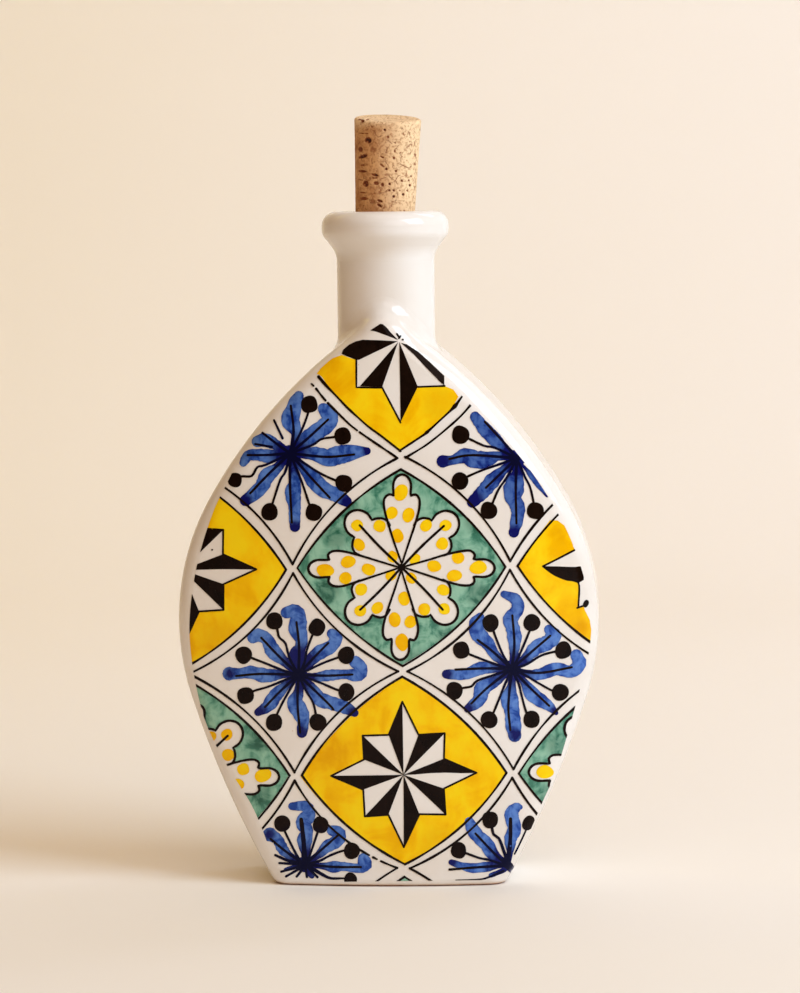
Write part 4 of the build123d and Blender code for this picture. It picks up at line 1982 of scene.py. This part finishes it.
@dataclass
class CorkStopper:
    """The tapered cork, turned as a fine mesh with its pores and lenticels sunk in."""

    node: bpy.types.Object
    joint: dict[str, object]
    body: str = "cork"
    slot: str = "cork"
    viewpoint: Viewpoint = Viewpoint()
    marks: tuple[CorkMark, ...] = FRONT_MARKS
    showing: float = 31.5 * MM
    spacing: float = 0.27 * MM
    clearance: float = 0.02 * MM
    pore_depth: float = 0.45 * MM
    pore_spacing: float = 2.6 * MM
    pore_radius_share: float = 0.13
    pore_core_share: float = 0.5
    lenticel_spacing: float = 5.2 * MM
    lenticel_flatness: float = 2.6
    lenticel_radius_share: float = 0.17
    lenticel_core_share: float = 0.6
    bend_size: float = 2.2 * MM
    bend_reach: float = 0.9 * MM
    bend_seed: int = 4
    crumb_size: float = 1.1 * MM
    crumb_depth: float = 0.1 * MM
    crumb_layers: tuple[float, float, int] = (0.8, 2.0, 3)
    end_share: float = 0.1
    foot_rings: tuple[float, float, int] = (0.03, 0.9, 6)
    rim_wear: float = 1.0 * MM
    rim_loss: float = 0.75
    rim_turns: tuple[float, ...] = (0.3, 0.6, 0.85, 1.0)
    top_slant: float = 2.4 * MM
    slant_length: float = 8.0 * MM
    front_calm: float = 0.85
    front_rise: Range = (0.0, 0.25)
    lens_speckle: float = 1.1
    speckle_size: float = 0.8 * MM

    def axes(self) -> tuple[Vector, Vector, Vector]:
        """Finds the cork's own directions.

        Returns:
            The viewer's right, the front and the way up along the cork.
        """
        axis = Vector(self.joint["axis"]).normalized()
        facing = self.viewpoint.turned(Vector((0.0, -1.0, 0.0)))
        right = facing.cross(axis).normalized() * -1
        return right, axis.cross(right).normalized() * -1, axis

    def build(self) -> bpy.types.Object:
        """Turns the cork in place of its plain solid.

        Returns:
            The cork.
        """
        right, front, axis = self.axes()
        basis = np.array([tuple(right), tuple(front), tuple(axis)])
        places = np.array([tuple(vertex.co) for vertex in self.node.data.vertices]) @ basis.T
        middle = (places.min(axis=0) + places.max(axis=0)) / 2
        reach = np.linalg.norm((places - middle)[:, :2], axis=1)
        low, high = places[:, 2].min(), places[:, 2].max()
        length = high - low
        narrow = reach[places[:, 2] < low + length * self.end_share].max()
        wide = reach[places[:, 2] > high - length * self.end_share].max()
        foot = right * middle[0] + front * middle[1] + axis * low
        rings = self.profile(narrow, wide, length)
        sides = round(FULL_TURN * wide / self.spacing)
        noise.seed_set(self.bend_seed)  # Unseeded, noise_vector differs from run to run.
        vertices = []
        pits = []
        for radius, height in rings:
            for side in range(sides):
                turn = FULL_TURN * side / sides
                outward = right * math.cos(turn) + front * math.sin(turn)
                nearness = (1 + math.sin(turn) * radius / wide) / 2
                slanting = blend_step(height, length - self.slant_length, length)
                drop = self.top_slant * nearness * slanting
                place = foot + axis * (height - drop) + outward * radius
                depth, pit = self.weather(place, height > length - self.rim_wear)
                if math.sin(turn) > 0:
                    above_lip = (height - drop - (length - self.showing)) / MM
                    speckle = 1 + self.lens_speckle * noise.noise(place / self.speckle_size)
                    x = radius * math.cos(turn) / MM
                    shown = max(mark.share(x, above_lip) for mark in self.marks) * min(speckle, 1.0)
                    calm = 1 - blend_step(math.sin(turn), *self.front_rise) * self.front_calm
                    pit = max(pit * calm, shown)
                    depth = depth * calm + shown * self.pore_depth
                inward = outward if 0 < height < length else axis * (1 if height >= length else -1)
                vertices.append(tuple(place - inward * depth))
                pits.append(pit)
        mesh = bpy.data.meshes.new("pressed_cork_plug")
        mesh.from_pydata(vertices, [], self.faces(len(rings), sides))
        mesh.shade_smooth()
        mesh.attributes.new("pit", "FLOAT", "POINT").data.foreach_set("value", pits)
        cork = bpy.data.objects.new("pressed_cork_plug", mesh)
        bpy.context.scene.collection.objects.link(cork)
        mesh.materials.append(CorkFinish().material())
        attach(cork, self.body)
        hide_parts(self.node.name)
        return cork

    def faces(self, rings: int, sides: int) -> list[tuple[int, ...]]:
        """Joins the rings into a wall and closes both ends.

        Args:
            rings: How many rings there are.
            sides: How many places each ring has.

        Returns:
            The faces, as numbers of places.
        """
        faces = []
        for ring in range(rings - 1):
            for side in range(sides):
                after = (side + 1) % sides
                start, above = ring * sides, (ring + 1) * sides
                faces.append((start + side, start + after, above + after, above + side))
        faces.append(tuple(reversed(range(sides))))
        faces.append(tuple(range((rings - 1) * sides, rings * sides)))
        return faces

    def profile(self, narrow: float, wide: float, length: float) -> list[tuple[float, float]]:
        """Draws half the cork's outline, from the middle of its foot to the middle of its top.

        Args:
            narrow: The radius at the foot.
            wide: The radius at the top.
            length: The cork's length.

        Returns:
            The radius and height of each ring.
        """
        wide -= self.clearance
        narrow -= self.clearance
        worn = 2 * self.rim_wear
        rings = [(narrow * share, 0.0) for share in np.linspace(*self.foot_rings)]
        rings += [(narrow - self.rim_wear, 0.0)]
        count = round((length - worn) / self.spacing)
        for step in range(count + 1):
            height = self.rim_wear + (length - worn) * step / count
            rings.append((narrow + (wide - narrow) * height / length, height))
        for share in self.rim_turns:
            bend = share * math.pi / 2
            drop = self.rim_wear * (1 - math.sin(bend))
            rings.append((wide - self.rim_wear * (1 - math.cos(bend)), length - drop))
        top_rings = round((wide - self.rim_wear) / self.spacing)
        for step in range(1, top_rings):
            rings.append(((wide - self.rim_wear) * (1 - step / top_rings), length))
        return rings

    def weather(self, place: Vector, rim: bool) -> tuple[float, float]:
        """Sinks the surface where the cork has pores, lenticels and lost crumbs.

        Args:
            place: A place on the plain surface.
            rim: Whether it lies on the worn top edge.

        Returns:
            How deep the surface lies there, in metres, and how dark the pit is.
        """
        bent = place + noise.noise_vector(place / self.bend_size) * self.bend_reach
        pore = noise.voronoi(bent / self.pore_spacing)[0][0]
        reach = self.pore_radius_share
        pore_pit = 1 - blend_step(pore, reach * self.pore_core_share, reach)
        flat = Vector((bent.x, bent.y, bent.z * self.lenticel_flatness)) / self.lenticel_spacing
        lenticel = noise.voronoi(flat)[0][0]
        reach = self.lenticel_radius_share
        long_pit = 1 - blend_step(lenticel, reach * self.lenticel_core_share, reach)
        crumbs = noise.fractal(place / self.crumb_size, *self.crumb_layers)
        pit = max(pore_pit, long_pit)
        depth = pit * self.pore_depth + max(crumbs, 0.0) * self.crumb_depth
        if rim:
            depth += max(crumbs, 0.0) * self.rim_wear * self.rim_loss
        return depth, pit


@dataclass(frozen=True)
class SoftLamp:
    """A square soft box, aimed at the flask's middle."""

    name: str
    bearing: float
    rise: float
    distance: float
    size: float
    power: float
    tint: tuple[float, float, float] = (1.0, 1.0, 1.0)
    aim: tuple[float, float, float] = (0.0, 0.0, 0.11)

    def hang(self) -> None:
        """Hangs the lamp at its bearing from the front, in degrees to the right."""
        lamp = bpy.data.lights.new(self.name, "AREA")
        lamp.shape = "SQUARE"
        lamp.size = self.size
        lamp.energy = self.power
        lamp.color = self.tint
        bearing, rise = math.radians(self.bearing), math.radians(self.rise)
        level = math.cos(rise)
        outward = Vector((math.sin(bearing) * level, -math.cos(bearing) * level, math.sin(rise)))
        holder = bpy.data.objects.new(self.name, lamp)
        holder.location = Vector(self.aim) + outward * self.distance
        holder.rotation_euler = outward.to_track_quat("Z", "Y").to_euler()
        bpy.context.scene.collection.objects.link(holder)


@dataclass
class Studio:
    """A cream paper sweep, the soft lamps, the sky and the camera."""

    sweep_half_width: float = 1.6
    floor_front: float = -2.4
    bend_start: float = 0.75
    bend_radius: float = 0.5
    wall_height: float = 1.9
    bend_steps: int = 24
    paper: PaperFinish = PaperFinish()
    dim_sky: Colour = (0.201, 0.102, 0.045, 1.0)
    bright_sky: Colour = (0.498, 0.350, 0.160, 1.0)
    bright_side: tuple[float, float, float] = (0.75, -0.1, 0.65)
    dim_from: float = -0.7
    bright_from: float = 0.8
    lamps: tuple[SoftLamp, ...] = (
        SoftLamp("window", 62.0, 33.0, 1.5, 0.85, power=18.9, tint=(0.64, 0.81, 1.0)),
        SoftLamp("front_card", 20.0, 30.0, 1.7, 1.0, power=3.8, tint=(1.0, 0.87, 0.9)),
        SoftLamp("top_card", 20.0, 80.0, 1.4, 0.9, power=1.9, tint=(1.0, 0.75, 0.63)),
        SoftLamp("wall_wash", 30.0, 40.0, 1.0, 0.5, power=3.3, tint=(0.7, 0.78, 1.0), aim=(0.1, 1.2, 0.3)),
        SoftLamp("left_wash", -20.0, 40.0, 1.0, 0.5, power=1.4, tint=(1.0, 0.8, 0.2), aim=(-0.45, 1.2, 0.3)),
    )

    def build(self) -> None:
        """Builds the sweep, the lamps, the sky and the camera."""
        self.lay_sweep()
        self.light_sky()
        for lamp in self.lamps:
            lamp.hang()
        PhotoCamera().set_up()

    def lay_sweep(self) -> None:
        """Lays the paper on the floor and bends it up behind the flask."""
        profile = [(self.floor_front, 0.0)]
        for step in range(self.bend_steps + 1):
            bend = math.pi / 2 * step / self.bend_steps
            y = self.bend_start + self.bend_radius * math.sin(bend)
            profile.append((y, self.bend_radius * (1 - math.cos(bend))))
        profile.append((self.bend_start + self.bend_radius, self.wall_height))
        vertices = [(side * self.sweep_half_width, y, z) for y, z in profile for side in (-1, 1)]
        faces = [(2 * n, 2 * n + 1, 2 * n + 3, 2 * n + 2) for n in range(len(profile) - 1)]
        mesh = bpy.data.meshes.new("paper_sweep")
        mesh.from_pydata(vertices, [], faces)
        mesh.shade_smooth()
        mesh.materials.append(self.paper.material())
        sweep = bpy.data.objects.new("paper_sweep", mesh)
        bpy.context.scene.collection.objects.link(sweep)

    def light_sky(self) -> None:
        """Fills the room with soft, warm light, dim on the left and brighter on the upper right."""
        world = bpy.data.worlds.new("soft_room")
        world.use_nodes = True
        tree = world.node_tree
        direction = tree.nodes.new("ShaderNodeTexCoord").outputs["Generated"]
        towards = tree.nodes.new("ShaderNodeVectorMath")
        towards.operation = "DOT_PRODUCT"
        towards.inputs[1].default_value = self.bright_side
        tree.links.new(direction, towards.inputs[0])
        share = tree.nodes.new("ShaderNodeMapRange")
        share.interpolation_type = "SMOOTHSTEP"
        share.inputs["From Min"].default_value = self.dim_from
        share.inputs["From Max"].default_value = self.bright_from
        tree.links.new(towards.outputs["Value"], share.inputs["Value"])
        tint = tree.nodes.new("ShaderNodeMix")
        tint.data_type = "RGBA"
        tint.inputs[MIX_FIRST].default_value = self.dim_sky
        tint.inputs[MIX_SECOND].default_value = self.bright_sky
        tree.links.new(share.outputs["Result"], tint.inputs[MIX_SHARE])
        tree.links.new(tint.outputs[MIX_RESULT], tree.nodes["Background"].inputs["Color"])
        bpy.context.scene.world = world


@dataclass(frozen=True)
class PhotoCamera:
    """The camera at the photograph's angle, with the flask where it stands in the frame."""

    viewpoint: Viewpoint = Viewpoint()
    roll: float = math.radians(0.7)
    view_width: float = 0.2638
    sensor_width: float = 36.0

    def set_up(self) -> None:
        """Places the camera and makes it the scene's own."""
        camera = bpy.data.cameras.new("photo_camera")
        camera.sensor_fit = "HORIZONTAL"
        camera.sensor_width = self.sensor_width
        camera.lens = self.sensor_width * self.viewpoint.distance / self.view_width
        holder = bpy.data.objects.new("photo_camera", camera)
        holder.location = self.viewpoint.eye()
        turn = self.viewpoint.outward().to_track_quat("Z", "Y").to_matrix()
        roll = Matrix.Rotation(-self.roll, 3, "Z")
        holder.rotation_euler = (turn @ roll).to_euler()
        bpy.context.scene.collection.objects.link(holder)
        bpy.context.scene.camera = holder


def main() -> None:
    """Builds everything in order and reports each piece."""
    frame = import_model()
    for piece in PaintedFlask(frame["nodes"]["bottle_body"]).build():
        log.info("%s: %d faces", piece.name, len(piece.data.polygons))
    cork = CorkStopper(frame["nodes"]["cork_stopper"], frame["joints"][0]).build()
    log.info("%s: %d faces", cork.name, len(cork.data.polygons))
    Studio().build()
    scene = bpy.context.scene
    scene.view_settings.view_transform = "Standard"


if __name__ == "__main__":
    logging.basicConfig(level=logging.INFO, format="%(name)s: %(message)s")
    main()
